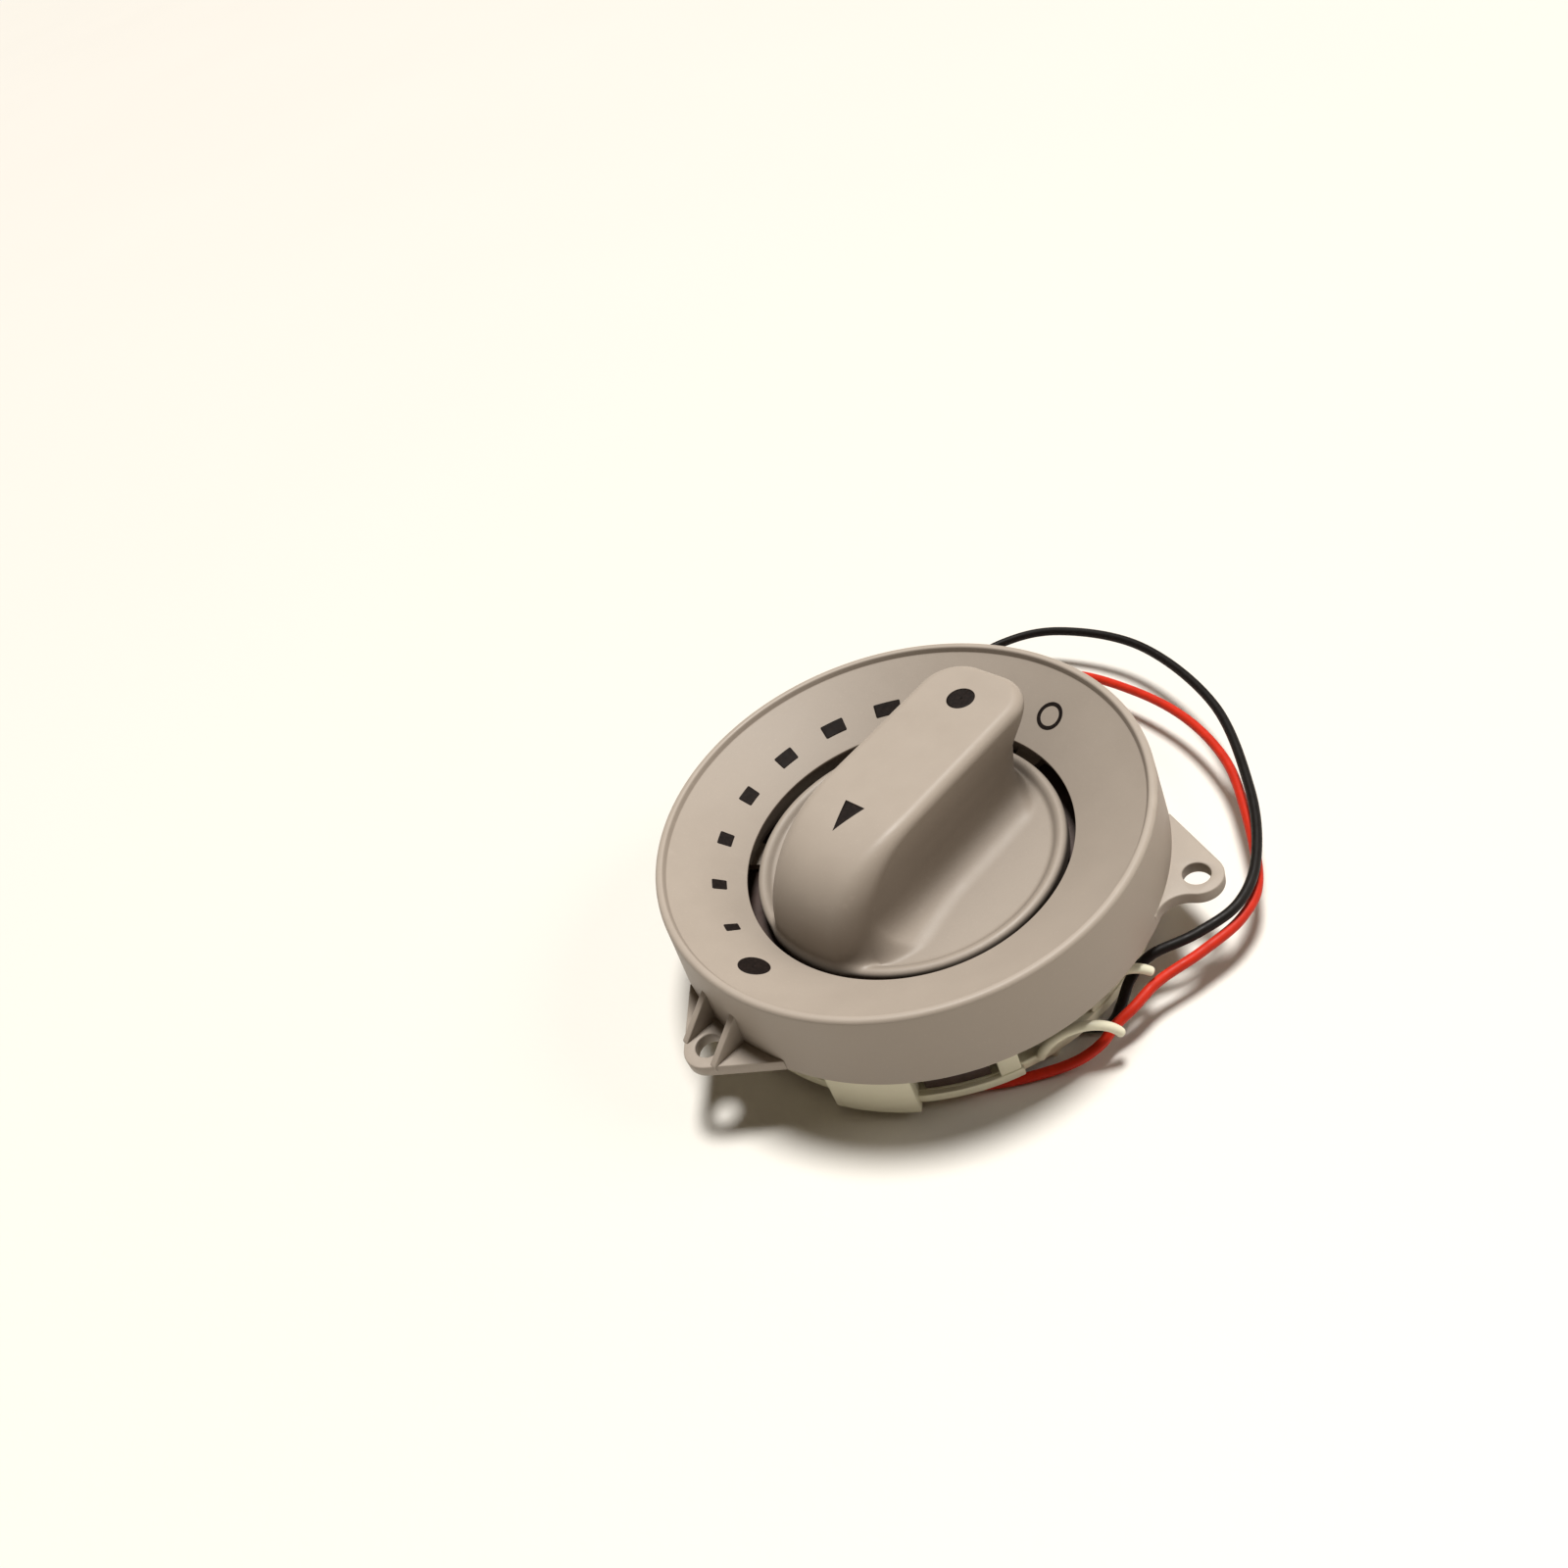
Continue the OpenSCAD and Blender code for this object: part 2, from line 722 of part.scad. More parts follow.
module lever_post() {
    post = [4.4, 4, post_top - board_bottom];
    slot_w = 1.2;
    seat_z = board_bottom + 1.4;
    color("goldenrod") difference() {
        translate([lever_x - post[0] / 2, lever_pivot_y - 3.6, board_bottom]) cube(post);
        translate([lever_x, lever_pivot_y, seat_z]) cylinder(r = knuckle_r + run_gap, h = 4);
        translate([lever_x - slot_w / 2, lever_pivot_y, seat_z]) cube([slot_w, 4, 4]);
    }
}

module contact_post() {
    post = [2, 3, post_top - board_bottom];
    face_x = lever_x - 1 - contact_gap;
    color("goldenrod")
        translate([face_x - post[0], contact_y - post[1] / 2, board_bottom]) cube(post);
}

// ---------- rear carrier, screws and leads ----------

// One third of the carrier's side: a deep tab, two windows with a post between, a wall
module carrier_side() {
    inner_r = housing_r + 0.5;
    wall_low = carrier_bottom + 1;
    ring_sector(49, inner_r, carrier_bottom - 1, carrier_top, 233, 253);
    ring_sector(carrier_r - 0.3, inner_r, wall_low, carrier_top, 272, 277);
    ring_sector(carrier_r - 1.3, inner_r + 0.2, wall_low, carrier_top - 0.2, 298, 354);
}

module carrier_flange() {
    step_r = carrier_r - 1;
    flange_top = carrier_bottom + flange_t;
    window_r = 30;
    spoke_w = 8;
    hub_out_r = 13;
    ring(step_r, window_r, carrier_bottom, flange_top);
    for (k = [0:2]) rotate(120 * k) {
        ring_sector(carrier_r, step_r - 1, carrier_bottom, flange_top - 0.2, 252, 277.5);
        rotate(270) translate([hub_out_r - 5, -spoke_w / 2, carrier_bottom + 0.2])
            cube([window_r - hub_out_r + 7, spoke_w, flange_t - 0.4]);
    }
    ring(hub_out_r, bush_r, carrier_bottom, flange_top);
}

// Open hooks that hold the two leads against the carrier's side
module lead_hooks() {
    hook_r = 0.95;
    arch(polar(46.4, 282, -10.8), polar(54.2, 297, -7.8), 5.4, hook_r);
    arch(polar(45.4, 303.5, -5.8), polar(52.4, 310.5, -5), 2.35, hook_r);
}

module rear_carrier() {
    peg_angles = [46.5, 166.5, 286.5];
    color(cream) difference() {
        union() {
            carrier_flange();
            for (k = [0:2]) rotate(120 * k) carrier_side();
            for (a = peg_angles) rotate(a) translate([44.5, 0, carrier_bottom - peg_len])
                cylinder(r = 1.2, h = peg_len + 1);
            lead_hooks();
        }
        for (a = screw_angles) rotate(a) translate([screw_circle_r, 0, carrier_bottom - 2])
            cylinder(r = screw_hole_r, h = 6);
        for (a = terminal_angles) rotate(a) translate([terminal_r, 0, carrier_bottom - 1])
            cylinder(r = 2, h = 5);
    }
}

// Three pan-head screws through carrier, housing and lid into the bezel's bosses
module housing_screws() {
    head_r = 2.8;
    head_h = 1.7;
    tip_z = 5;
    slot = [3.2, 0.7, 1.9];
    color("silver") for (a = screw_angles) rotate(a)
        translate([screw_circle_r, 0, carrier_bottom]) difference() {
            union() {
                cylinder(r = screw_r, h = tip_z - carrier_bottom);
                translate([0, 0, -head_h]) cylinder(r = head_r, h = head_h);
            }
            for (t = [0, 90]) rotate(t)
                translate([-slot[0] / 2, -slot[1] / 2, -head_h - 1]) cube(slot);
        }
}

// Way points of each lead from its terminal, round the outside, to its free end
black_way = [polar(37.8, 288.2, lead_under), polar(41.5, 291, lead_under),
             polar(45, 295.5, lead_under), polar(48.6, 299.5, -12.6), polar(49.6, 302.5, -9.2),
             [30.2, -38.6, -6.5], [35.5, -36, -5.2], [44.5, -35.5, -4.3], [54, -32.5, -3.7],
             [61.5, -23.5, -3.6], [68, -6, -4], [72, 21, -4.8], [66, 47.5, -5.5],
             [52, 64, -6.5], [38, 69, -8], [22, 66, -10]];
red_way = [polar(37.8, 252.2, lead_under), polar(41.5, 256, lead_under),
           polar(44.5, 264, lead_under), polar(46.5, 273, lead_under), polar(48.6, 283, -13.1),
           polar(50.5, 289, -12), polar(51.6, 294, -10.3), polar(51.6, 298, -8.8),
           [28.6, -44, -7.6], [34.8, -40.8, -6.9], [44.5, -38, -6.5], [54, -33.8, -6.3],
           [60.5, -26, -6.4], [66, -7, -6.6], [68, 7, -6.8], [66, 22, -7.2],
           [60, 36.5, -8], [50, 51, -9.4], [36, 59, -11]];
function lead_path(way) = smooth_path(way, lead_smooth);

module lead_black() {
    color(print_black) tube(lead_path(black_way), lead_r, lead_sides, [0, 0, 1]);
}

module lead_red() {
    color("firebrick") tube(lead_path(red_way), lead_r, lead_sides, [0, 0, 1]);
}

// Bare conductor from each lead's inner end to its terminal pin
module lead_cores() {
    core_r = 0.55;
    core_len = 0.75;
    color("peru") for (way = [black_way, red_way]) {
        path = lead_path(way);
        start = path[0] - seam * heading(path, 0);
        rod(start - core_len * heading(path, 0), start, core_r);
    }
}

// Crimped sleeves on the free ends
module lead_ferrules() {
    sleeve_r = lead_r + 0.1;
    sleeve_len = 4.5;
    color("silver") for (way = [black_way, red_way]) {
        path = lead_path(way);
        ahead = heading(path, len(path) - 1);
        end = path[len(path) - 1] + seam * ahead;
        rod(end, end + sleeve_len * ahead, sleeve_r);
    }
}

bezel();
dial_marks();
knob();
knob_marks();
knob_clip();
spindle();
bearing_bush();
spindle_seal();
wave_washer();
circlip();
housing_lid();
contact_housing();
contact_board();
resistor_track();
common_ring();
rotor();
wiper();
detent_ball();
detent_spring();
detent_plug();
contact_lever();
lever_post();
contact_post();
terminal_pins();
housing_screws();
rear_carrier();
lead_black();
lead_red();
lead_cores();
lead_ferrules();
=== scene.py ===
import json
import math

import bmesh
import bpy
import numpy as np
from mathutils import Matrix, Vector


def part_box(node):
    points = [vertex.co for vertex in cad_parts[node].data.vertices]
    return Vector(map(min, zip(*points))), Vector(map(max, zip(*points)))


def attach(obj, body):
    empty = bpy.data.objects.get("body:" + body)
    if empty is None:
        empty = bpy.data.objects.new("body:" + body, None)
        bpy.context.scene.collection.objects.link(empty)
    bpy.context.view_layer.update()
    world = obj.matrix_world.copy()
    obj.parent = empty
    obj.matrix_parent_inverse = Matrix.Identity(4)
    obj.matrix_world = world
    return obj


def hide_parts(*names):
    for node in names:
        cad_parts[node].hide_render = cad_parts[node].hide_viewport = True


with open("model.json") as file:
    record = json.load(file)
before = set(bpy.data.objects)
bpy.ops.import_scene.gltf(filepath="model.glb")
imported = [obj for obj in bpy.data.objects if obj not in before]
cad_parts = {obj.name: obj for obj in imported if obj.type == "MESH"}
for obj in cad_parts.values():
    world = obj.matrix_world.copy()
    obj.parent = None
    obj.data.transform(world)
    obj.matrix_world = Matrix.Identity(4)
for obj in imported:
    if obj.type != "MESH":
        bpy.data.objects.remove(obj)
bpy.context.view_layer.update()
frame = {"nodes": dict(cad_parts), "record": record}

import openvdb
from mathutils import Matrix, Vector

# The looks of a rotary battery switch. Sizes are in millimetres, in the frame of the CAD, and
# turn to metres where a mesh is made. Angles are counter-clockwise from +X, in degrees.

MM = 0.001
NODES = frame["nodes"]


def span(node):
    """Lowest and highest corner of a CAD node, in millimetres."""
    low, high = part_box(node)
    return low / MM, high / MM


def mount(name):
    """A mount of the record, by name."""
    return next(m for m in frame["record"]["mounts"] if m["name"] == name)


# ---------- driving sizes, from the frame where it states them ----------

RIM_Z = span("bezel")[1].z
LUG_PCD = mount("screw_lugs")["dims"]["pcd_mm"]
LUG_HOLE_R = mount("screw_lugs")["dims"]["hole_r_mm"]
GRIP_Z = span("knob")[1].z
CARRIER_LOW = span("rear_carrier")[0].z

RIM_R = 50.0
SKIRT_R = 51.2
WALL = 2.0
LIP_H = 1.2
DIAL_R = 48.0
HOLE_R = 33.6
HOLE_Z = 7.7
HOLE_EDGE_T = 0.4
WELL_R = HOLE_R + 2.4
FLOOR_LOW, FLOOR_TOP = 0.6, 2.2
SLOT_IN_R, SLOT_OUT_R, SLOT_SWEEP = 30.8, WELL_R + 0.6, 110
BOSS_R, BOSS_TOP, BUSH_R = 8.5, 4.0, 6.0
LUG_T = 2.8
LUG_END_R = 5.0
LUG_ANGLES = (90, 210, 330)
RIBBED_LUG, SCOOPED_LUG = 210, 330
SCREW_ANGLES = (30, 150, 270)
SCREW_CIRCLE = 40.0

MARK_STEP = 18.7
FULL_DOT_A, FULL_DOT_R, FULL_DOT_CIRCLE = 211.4, 3.15, 40.85
BARS, BAR_LENGTH, BAR_CIRCLE = 9, 3.1, 38.6
FIRST_BAR_DEG, BAR_GROWTH_DEG = 3, 0.93
RING_R, RING_IN_R, RING_CIRCLE = 3.05, 2.18, 40.3
GRIP_DOT_R = 2.9

DISC_R = 31.8
DISC_LOW = 2.9
ARROW_A = 215.2
GRIP_HALF = 12.0
GRIP_REACH = 34.3
NOSE_U, NOSE_LEN = -4.0, 27.8
GATE_A, GATE_W, GATE_DEPTH, GATE_TOP = 186, 2.4, 0.8, 5.4


def dial_z(r):
    """Height of the sloping dial face at radius r."""
    return HOLE_Z + (r - HOLE_R) * (RIM_Z - LIP_H - HOLE_Z) / (DIAL_R - HOLE_R)


DIAL_SLOPE = math.atan2(RIM_Z - LIP_H - HOLE_Z, DIAL_R - HOLE_R)


def polar(r, a, z=0.0):
    return Vector((r * math.cos(math.radians(a)), r * math.sin(math.radians(a)), z))


# ---------- meshes ----------

def make(name, points, faces, material, smooth=True):
    """A mesh object from points in millimetres."""
    mesh = bpy.data.meshes.new(name)
    mesh.from_pydata([tuple(Vector(p) * MM) for p in points], [], faces)
    mesh.validate()
    piece = bpy.data.objects.new(name, mesh)
    bpy.context.scene.collection.objects.link(piece)
    mesh.materials.append(material)
    bm = bmesh.new()
    bm.from_mesh(mesh)
    bmesh.ops.recalc_face_normals(bm, faces=bm.faces)
    for face in bm.faces:
        face.smooth = smooth
    bm.to_mesh(mesh)
    bm.free()
    return piece


def bake(piece):
    """Applies a piece's modifiers to its mesh."""
    graph = bpy.context.evaluated_depsgraph_get()
    mesh = bpy.data.meshes.new_from_object(piece.evaluated_get(graph))
    piece.modifiers.clear()
    piece.data = mesh
    return piece


def bevel(piece, width, segments=3, angle=30):
    modifier = piece.modifiers.new("edge_rounding", "BEVEL")
    modifier.width = width * MM
    modifier.segments = segments
    modifier.limit_method = "ANGLE"
    modifier.angle_limit = math.radians(angle)
    modifier.use_clamp_overlap = True
    return bake(piece)


def combine(piece, others, operation):
    """Joins or cuts other meshes into a piece, and removes them."""
    for other in others:
        modifier = piece.modifiers.new(operation.lower(), "BOOLEAN")
        modifier.operation = operation
        modifier.solver = "EXACT"
        modifier.object = other
        bake(piece)
        bpy.data.objects.remove(other)
    return piece


def shade_by_angle(piece, degrees=35):
    """Smooth faces, with a crease where two faces meet at more than an angle."""
    bm = bmesh.new()
    bm.from_mesh(piece.data)
    limit = math.radians(degrees)
    for face in bm.faces:
        face.smooth = True
    for edge in bm.edges:
        if len(edge.link_faces) == 2:
            edge.smooth = edge.calc_face_angle(0) < limit
    bm.to_mesh(piece.data)
    bm.free()
    return piece


def rounded(corners, steps=5):
    """Outline with each corner (x, y, radius) turned into an arc."""
    points = []
    count = len(corners)
    for i, (x, y, radius) in enumerate(corners):
        here = Vector((x, y))
        if radius <= 0:
            points.append(here)
            continue
        back = (Vector(corners[i - 1][:2]) - here).normalized()
        on = (Vector(corners[(i + 1) % count][:2]) - here).normalized()
        half = back.angle(on) / 2
        run = radius / math.tan(half)
        centre = here + (back + on).normalized() * radius / math.sin(half)
        start, end = here + back * run - centre, here + on * run - centre
        sweep = start.angle_signed(end)
        for k in range(steps + 1):
            turn = Matrix.Rotation(-sweep * k / steps, 2)
            points.append(centre + turn @ start)
    return points


def braced(outline, near=0.25, most=3.0):
    """Outline with extra points near the ends of its long edges, so shading stays flat there."""
    points = []
    for start, end in zip(outline, outline[1:] + outline[:1]):
        start, end = Vector(start[:2]), Vector(end[:2])
        points.append(start)
        length = (end - start).length
        if length > 4 * near:
            inner = max(1, math.ceil((length - 2 * near) / most))
            shares = [near / length + (1 - 2 * near / length) * k / inner
                      for k in range(inner + 1)]
            points += [start.lerp(end, share) for share in shares]
    return points


def lathe(name, outline, material, segments=240):
    """Solid of revolution from a closed outline of (radius, z)."""
    outline = braced(outline)
    points, faces = [], []
    count = len(outline)
    for s in range(segments):
        a = 360 * s / segments
        points += [polar(p[0], a, p[1]) for p in outline]
        step = ((s + 1) % segments) * count
        for k in range(count):
            n = (k + 1) % count
            faces.append((s * count + k, step + k, step + n, s * count + n))
    return make(name, points, faces, material)


def prism(name, outline, z0, z1, material):
    """Upright prism from a closed outline of (x, y)."""
    count = len(outline)
    points = [(p[0], p[1], z0) for p in outline] + [(p[0], p[1], z1) for p in outline]
    faces = [tuple(range(count)), tuple(range(2 * count - 1, count - 1, -1))]
    faces += [(k, (k + 1) % count, count + (k + 1) % count, count + k) for k in range(count)]
    return make(name, points, faces, material, smooth=False)


def drill(radius, x, y, z0, z1, material, sides=64):
    """Upright cylinder, for cutting holes and for plain round parts."""
    outline = [(x + p.x, y + p.y) for p in (polar(radius, 360 * k / sides) for k in range(sides))]
    return prism("cutter", outline, z0, z1, material)


def turned(piece, degrees):
    piece.data.transform(Matrix.Rotation(math.radians(degrees), 4, "Z"))
    return piece


def smooth_path(way, steps):
    """Catmull-Rom run through way points."""
    way = [Vector(p) for p in way]
    path = []
    for i in range(len(way) - 1):
        p0, p1, p2, p3 = way[max(i - 1, 0)], way[i], way[i + 1], way[min(i + 2, len(way) - 1)]
        for k in range(steps):
            t = k / steps
            path.append(0.5 * (2 * p1 + (p2 - p0) * t + (2 * p0 - 5 * p1 + 4 * p2 - p3) * t * t
                               + (3 * p1 - p0 - 3 * p2 + p3) * t ** 3))
    return path + [way[-1]]


def tube(name, path, radius, material, sides=24, round_ends=0.3):
    """Round bar along a path; radius may be a number or a function of the share along it."""
    size = radius if callable(radius) else (lambda share: radius)
    points, faces = [], []
    up = Vector((0, 0, 1))
    count = len(path)
    for i, p in enumerate(path):
        ahead = (path[min(i + 1, count - 1)] - path[max(i - 1, 0)]).normalized()
        side = up.cross(ahead).normalized()
        over = ahead.cross(side)
        for k in range(sides):
            a = 2 * math.pi * k / sides
            points.append(p + (side * math.cos(a) + over * math.sin(a)) * size(i / (count - 1)))
    for i in range(count - 1):
        for k in range(sides):
            n = (k + 1) % sides
            faces.append((i * sides + k, i * sides + n, (i + 1) * sides + n, (i + 1) * sides + k))
    faces.append(tuple(range(sides - 1, -1, -1)))
    faces.append(tuple((count - 1) * sides + k for k in range(sides)))
    piece = make(name, points, faces, material)
    return bevel(piece, round_ends, 2, 60) if round_ends else piece


# ---------- solids from distance fields, for shapes that blend into each other ----------

def round_join(a, b, r):
    """Union of two fields with a concave blend of radius r."""
    return np.maximum(r, np.minimum(a, b)) - np.hypot(np.maximum(r - a, 0), np.maximum(r - b, 0))


def round_cut(a, b, r):
    """Intersection of two fields with a rounded edge of radius r."""
    return np.minimum(-r, np.maximum(a, b)) + np.hypot(np.maximum(r + a, 0), np.maximum(r + b, 0))


def ease(x, low, high):
    t = np.clip((x - low) / (high - low), 0, 1)
    return t * t * (3 - 2 * t)


def field_solid(name, field, low, high, step, material):
    """Mesh of the surface where field(x, y, z) is zero, with each point moved onto it."""
    axes = [np.arange(a, b + step, step) for a, b in zip(low, high)]
    grid = openvdb.FloatGrid(background=3 * step)
    values = field(*np.meshgrid(*axes, indexing="ij"))
    grid.copyFromArray(np.clip(values, -3 * step, 3 * step).astype(np.float32))
    points, quads = grid.convertToQuads(0.0)
    p = points.astype(float) * step + np.array(low)
    h = 0.02
    for _ in range(3):
        value = field(*p.T)
        slope = np.stack([(field(*(p + h * e).T) - field(*(p - h * e).T)) / (2 * h)
                          for e in np.eye(3)], axis=1)
        size = np.maximum((slope ** 2).sum(1), 0.05)
        move = -(value / size)[:, None] * slope
        reach = np.maximum(np.linalg.norm(move, axis=1, keepdims=True), 1e-9)
        p += move * np.minimum(1, 0.5 * step / reach)
    return make(name, p.tolist(), [tuple(int(i) for i in q) for q in quads], material)


# ---------- materials ----------

class Shader:
    """Small helper that adds nodes to one material."""

    def __init__(self, name):
        self.material = bpy.data.materials.new(name)
        self.material.use_nodes = True
        self.tree = self.material.node_tree
        self.surface = self.tree.nodes["Principled BSDF"]
        self.place = self.add("ShaderNodeTexCoord").outputs["Object"]

    def add(self, kind, **values):
        node = self.tree.nodes.new(kind)
        for key, value in values.items():
            if key in node.inputs:
                node.inputs[key].default_value = value
            else:
                setattr(node, key, value)
        return node

    def link(self, output, target):
        self.tree.links.new(output, target)

    def noise(self, size, detail=3.0, roughness=0.5, place=None):
        """Noise whose blobs are about size millimetres across."""
        node = self.add("ShaderNodeTexNoise", Scale=1 / (size * MM), Detail=detail,
                        Roughness=roughness)
        self.link(place or self.place, node.inputs["Vector"])
        return node.outputs["Fac"]

    def ramp(self, value, low, high, out_low=0.0, out_high=1.0):
        node = self.add("ShaderNodeMapRange")
        node.inputs["From Min"].default_value = low
        node.inputs["From Max"].default_value = high
        node.inputs["To Min"].default_value = out_low
        node.inputs["To Max"].default_value = out_high
        self.link(value, node.inputs["Value"])
        return node.outputs["Result"]

    def mix(self, share, first, second):
        node = self.add("ShaderNodeMix", data_type="RGBA")
        for value, target in ((first, node.inputs[6]), (second, node.inputs[7])):
            if isinstance(value, (tuple, list)):
                target.default_value = (*value, 1)
            else:
                self.link(value, target)
        if isinstance(share, float):
            node.inputs[0].default_value = share
        else:
            self.link(share, node.inputs[0])
        return node.outputs[2]

    def times(self, a, b):
        node = self.add("ShaderNodeMath", operation="MULTIPLY")
        for value, target in ((a, node.inputs[0]), (b, node.inputs[1])):
            if isinstance(value, float):
                target.default_value = value
            else:
                self.link(value, target)
        return node.outputs[0]

    def bump(self, height, depth, under=None):
        """Bump of depth millimetres."""
        node = self.add("ShaderNodeBump", Distance=depth * MM)
        self.link(height, node.inputs["Height"])
        if under is not None:
            self.link(under, node.inputs["Normal"])
        return node.outputs["Normal"]

    def edges(self):
        """1 on convex edges, 0 elsewhere."""
        return self.ramp(self.add("ShaderNodeNewGeometry").outputs["Pointiness"], 0.52, 0.60)

    def finish(self, colour, roughness, normal=None, **others):
        for value, key in ((colour, "Base Color"), (roughness, "Roughness"), (normal, "Normal")):
            if value is None:
                continue
            if isinstance(value, tuple):
                self.surface.inputs[key].default_value = (*value, 1)
            elif isinstance(value, float):
                self.surface.inputs[key].default_value = value
            else:
                self.link(value, self.surface.inputs[key])
        for key, value in others.items():
            self.surface.inputs[key.replace("_", " ")].default_value = value
        return self.material


def moulded_plastic(name, colour, roughness=0.55, grain=0.35, grain_depth=0.012, scuffs=0.5,
                    painted_recess_shade=0.6):
    """Matt moulded plastic: spark grain, faint mottling, rubbed edges, scuffs, and painted shade
    that darkens recesses.
    """
    s = Shader(name)
    light = tuple(min(1, c * 1.12 + 0.01) for c in colour)
    dark = tuple(c * 0.9 for c in colour)
    mottle = s.noise(9, 4.0, 0.6)
    speck = s.noise(0.5, 2.0)
    tone = s.mix(s.ramp(mottle, 0.35, 0.65), tuple(c * 0.97 for c in colour), colour)
    tone = s.mix(s.ramp(speck, 0.62, 0.75, 0.0, 0.35), tone, light)
    tone = s.mix(s.times(s.edges(), 0.35), tone, light)
    stretched = s.add("ShaderNodeMapping")
    stretched.inputs["Rotation"].default_value = (0.3, 0.2, 0.9)
    stretched.inputs["Scale"].default_value = (1.0, 9.0, 3.0)
    s.link(s.place, stretched.inputs["Vector"])
    scratch = s.ramp(s.noise(3.0, 5.0, 0.7, stretched.outputs["Vector"]), 0.70, 0.76)
    patch = s.ramp(s.noise(14, 2.0), 0.52, 0.62)
    wear = s.times(s.times(scratch, patch), scuffs)
    tone = s.mix(wear, tone, dark)
    rough = s.ramp(mottle, 0.3, 0.7, roughness - 0.06, roughness + 0.06)
    # Painted shade: where ambient occlusion is low, the colour darkens towards 0.4 of itself,
    # standing in for shade in recesses.
    painted_shade_occlusion = s.add("ShaderNodeAmbientOcclusion", Distance=30 * MM, samples=8).outputs["AO"]
    tone = s.mix(s.ramp(painted_shade_occlusion, 0.3, 0.97, painted_recess_shade, 0.0), tone, tuple(c * 0.4 for c in colour))
    normal = s.bump(s.noise(grain, 3.0, 0.6), grain_depth)
    normal = s.bump(mottle, 0.03, normal)
    return s.finish(tone, rough, normal, Specular_IOR_Level=0.4)


def printed_ink(name):
    s = Shader(name)
    tone = s.mix(s.ramp(s.noise(0.6, 3.0), 0.4, 0.7), (0.009, 0.006, 0.005), (0.017, 0.011, 0.009))
    normal = s.bump(s.noise(0.25, 2.0), 0.006)
    rough = s.ramp(s.noise(1.2), 0.3, 0.7, 0.55, 0.7)
    return s.finish(tone, rough, normal, Specular_IOR_Level=0.12)


def insulation(name, colour):
    """Extruded wire insulation: satin, with faint draw lines and handling marks."""
    s = Shader(name)
    tone = s.mix(s.ramp(s.noise(2.5, 3.0), 0.35, 0.7), tuple(c * 0.85 for c in colour), colour)
    rough = s.ramp(s.noise(1.5, 3.0), 0.3, 0.7, 0.42, 0.6)
    normal = s.bump(s.noise(0.5, 2.0), 0.01)
    normal = s.bump(s.noise(4.0, 2.0), 0.05, normal)
    return s.finish(tone, rough, normal, Specular_IOR_Level=0.22)


def phenolic(name):
    """Dark compression-moulded resin with pale filler specks."""
    s = Shader(name)
    flecks = s.ramp(s.noise(0.7, 4.0, 0.7), 0.60, 0.72)
    tone = s.mix(s.noise(5, 3.0), (0.030, 0.016, 0.012), (0.062, 0.032, 0.024))
    tone = s.mix(s.times(flecks, 0.4), tone, (0.13, 0.08, 0.06))
    normal = s.bump(s.noise(0.4, 4.0, 0.65), 0.02)
    return s.finish(tone, s.ramp(s.noise(2.0), 0.3, 0.7, 0.4, 0.6), normal)


def metal(name, colour, roughness=0.3, streak=(1, 1, 12)):
    """Bright metal with fine turned or drawn lines and dulled patches."""
    s = Shader(name)
    stretched = s.add("ShaderNodeMapping")
    stretched.inputs["Scale"].default_value = streak
    s.link(s.place, stretched.inputs["Vector"])
    lines = s.noise(0.8, 4.0, 0.6, stretched.outputs["Vector"])
    dull = s.ramp(s.noise(2.5, 3.0), 0.4, 0.7)
    tone = s.mix(s.times(dull, 0.5), colour, tuple(c * 0.55 for c in colour))
    rough = s.ramp(lines, 0.3, 0.7, roughness - 0.08, roughness + 0.15)
    return s.finish(tone, rough, s.bump(lines, 0.008), Metallic=1.0)


def laminate(name):
    s = Shader(name)
    weave = s.add("ShaderNodeTexChecker", Scale=1 / (0.7 * MM))
    s.link(s.place, weave.inputs["Vector"])
    tone = s.mix(s.times(weave.outputs["Fac"], 0.15), (0.16, 0.14, 0.05), (0.26, 0.24, 0.12))
    return s.finish(tone, 0.45, s.bump(s.noise(0.6), 0.01))


def floor_surface(name):
    s = Shader(name)
    tone = s.mix(s.noise(220, 2.0), (0.76, 0.735, 0.69), (0.78, 0.755, 0.71))
    return s.finish(tone, 0.6, s.bump(s.noise(1.5, 3.0), 0.02))


# Each plastic's recess strength (the last argument where given) sets how far painted shade darkens
# its recesses.
BEZEL_GREY = moulded_plastic("bezel_plastic", (0.41, 0.35, 0.295), 0.5, painted_recess_shade=0.4)
KNOB_GREY = moulded_plastic("knob_plastic", (0.40, 0.34, 0.285), 0.5, 0.3, 0.008, 0.7, 0.8)
CREAM = moulded_plastic("cream_plastic", (0.84, 0.80, 0.62), 0.42, 0.5, 0.006, 0.2, 0.15)
ROTOR_WHITE = moulded_plastic("rotor_plastic", (0.72, 0.72, 0.68), 0.4, 0.5, 0.006, 0.2)
INK = printed_ink("dial_print")
PHENOLIC = phenolic("phenolic")
PVC_BLACK = insulation("pvc_black", (0.008, 0.006, 0.005))
PVC_RED = insulation("pvc_red", (0.62, 0.026, 0.008))
RUBBER = insulation("seal_rubber", (0.015, 0.015, 0.015))
CARBON = insulation("carbon_track", (0.02, 0.02, 0.02))
BOARD = laminate("board")
BRASS = metal("brass", (0.78, 0.58, 0.28))
COPPER = metal("copper", (0.80, 0.46, 0.30))
STEEL = metal("spring_steel", (0.62, 0.62, 0.62), 0.25)
TURNED_STEEL = metal("spindle_steel", (0.50, 0.50, 0.50), 0.32)
ZINC = metal("screw_steel", (0.66, 0.64, 0.58), 0.34)
TINNED = metal("tinned_sleeve", (0.70, 0.70, 0.70), 0.3)


# ---------- bezel ----------

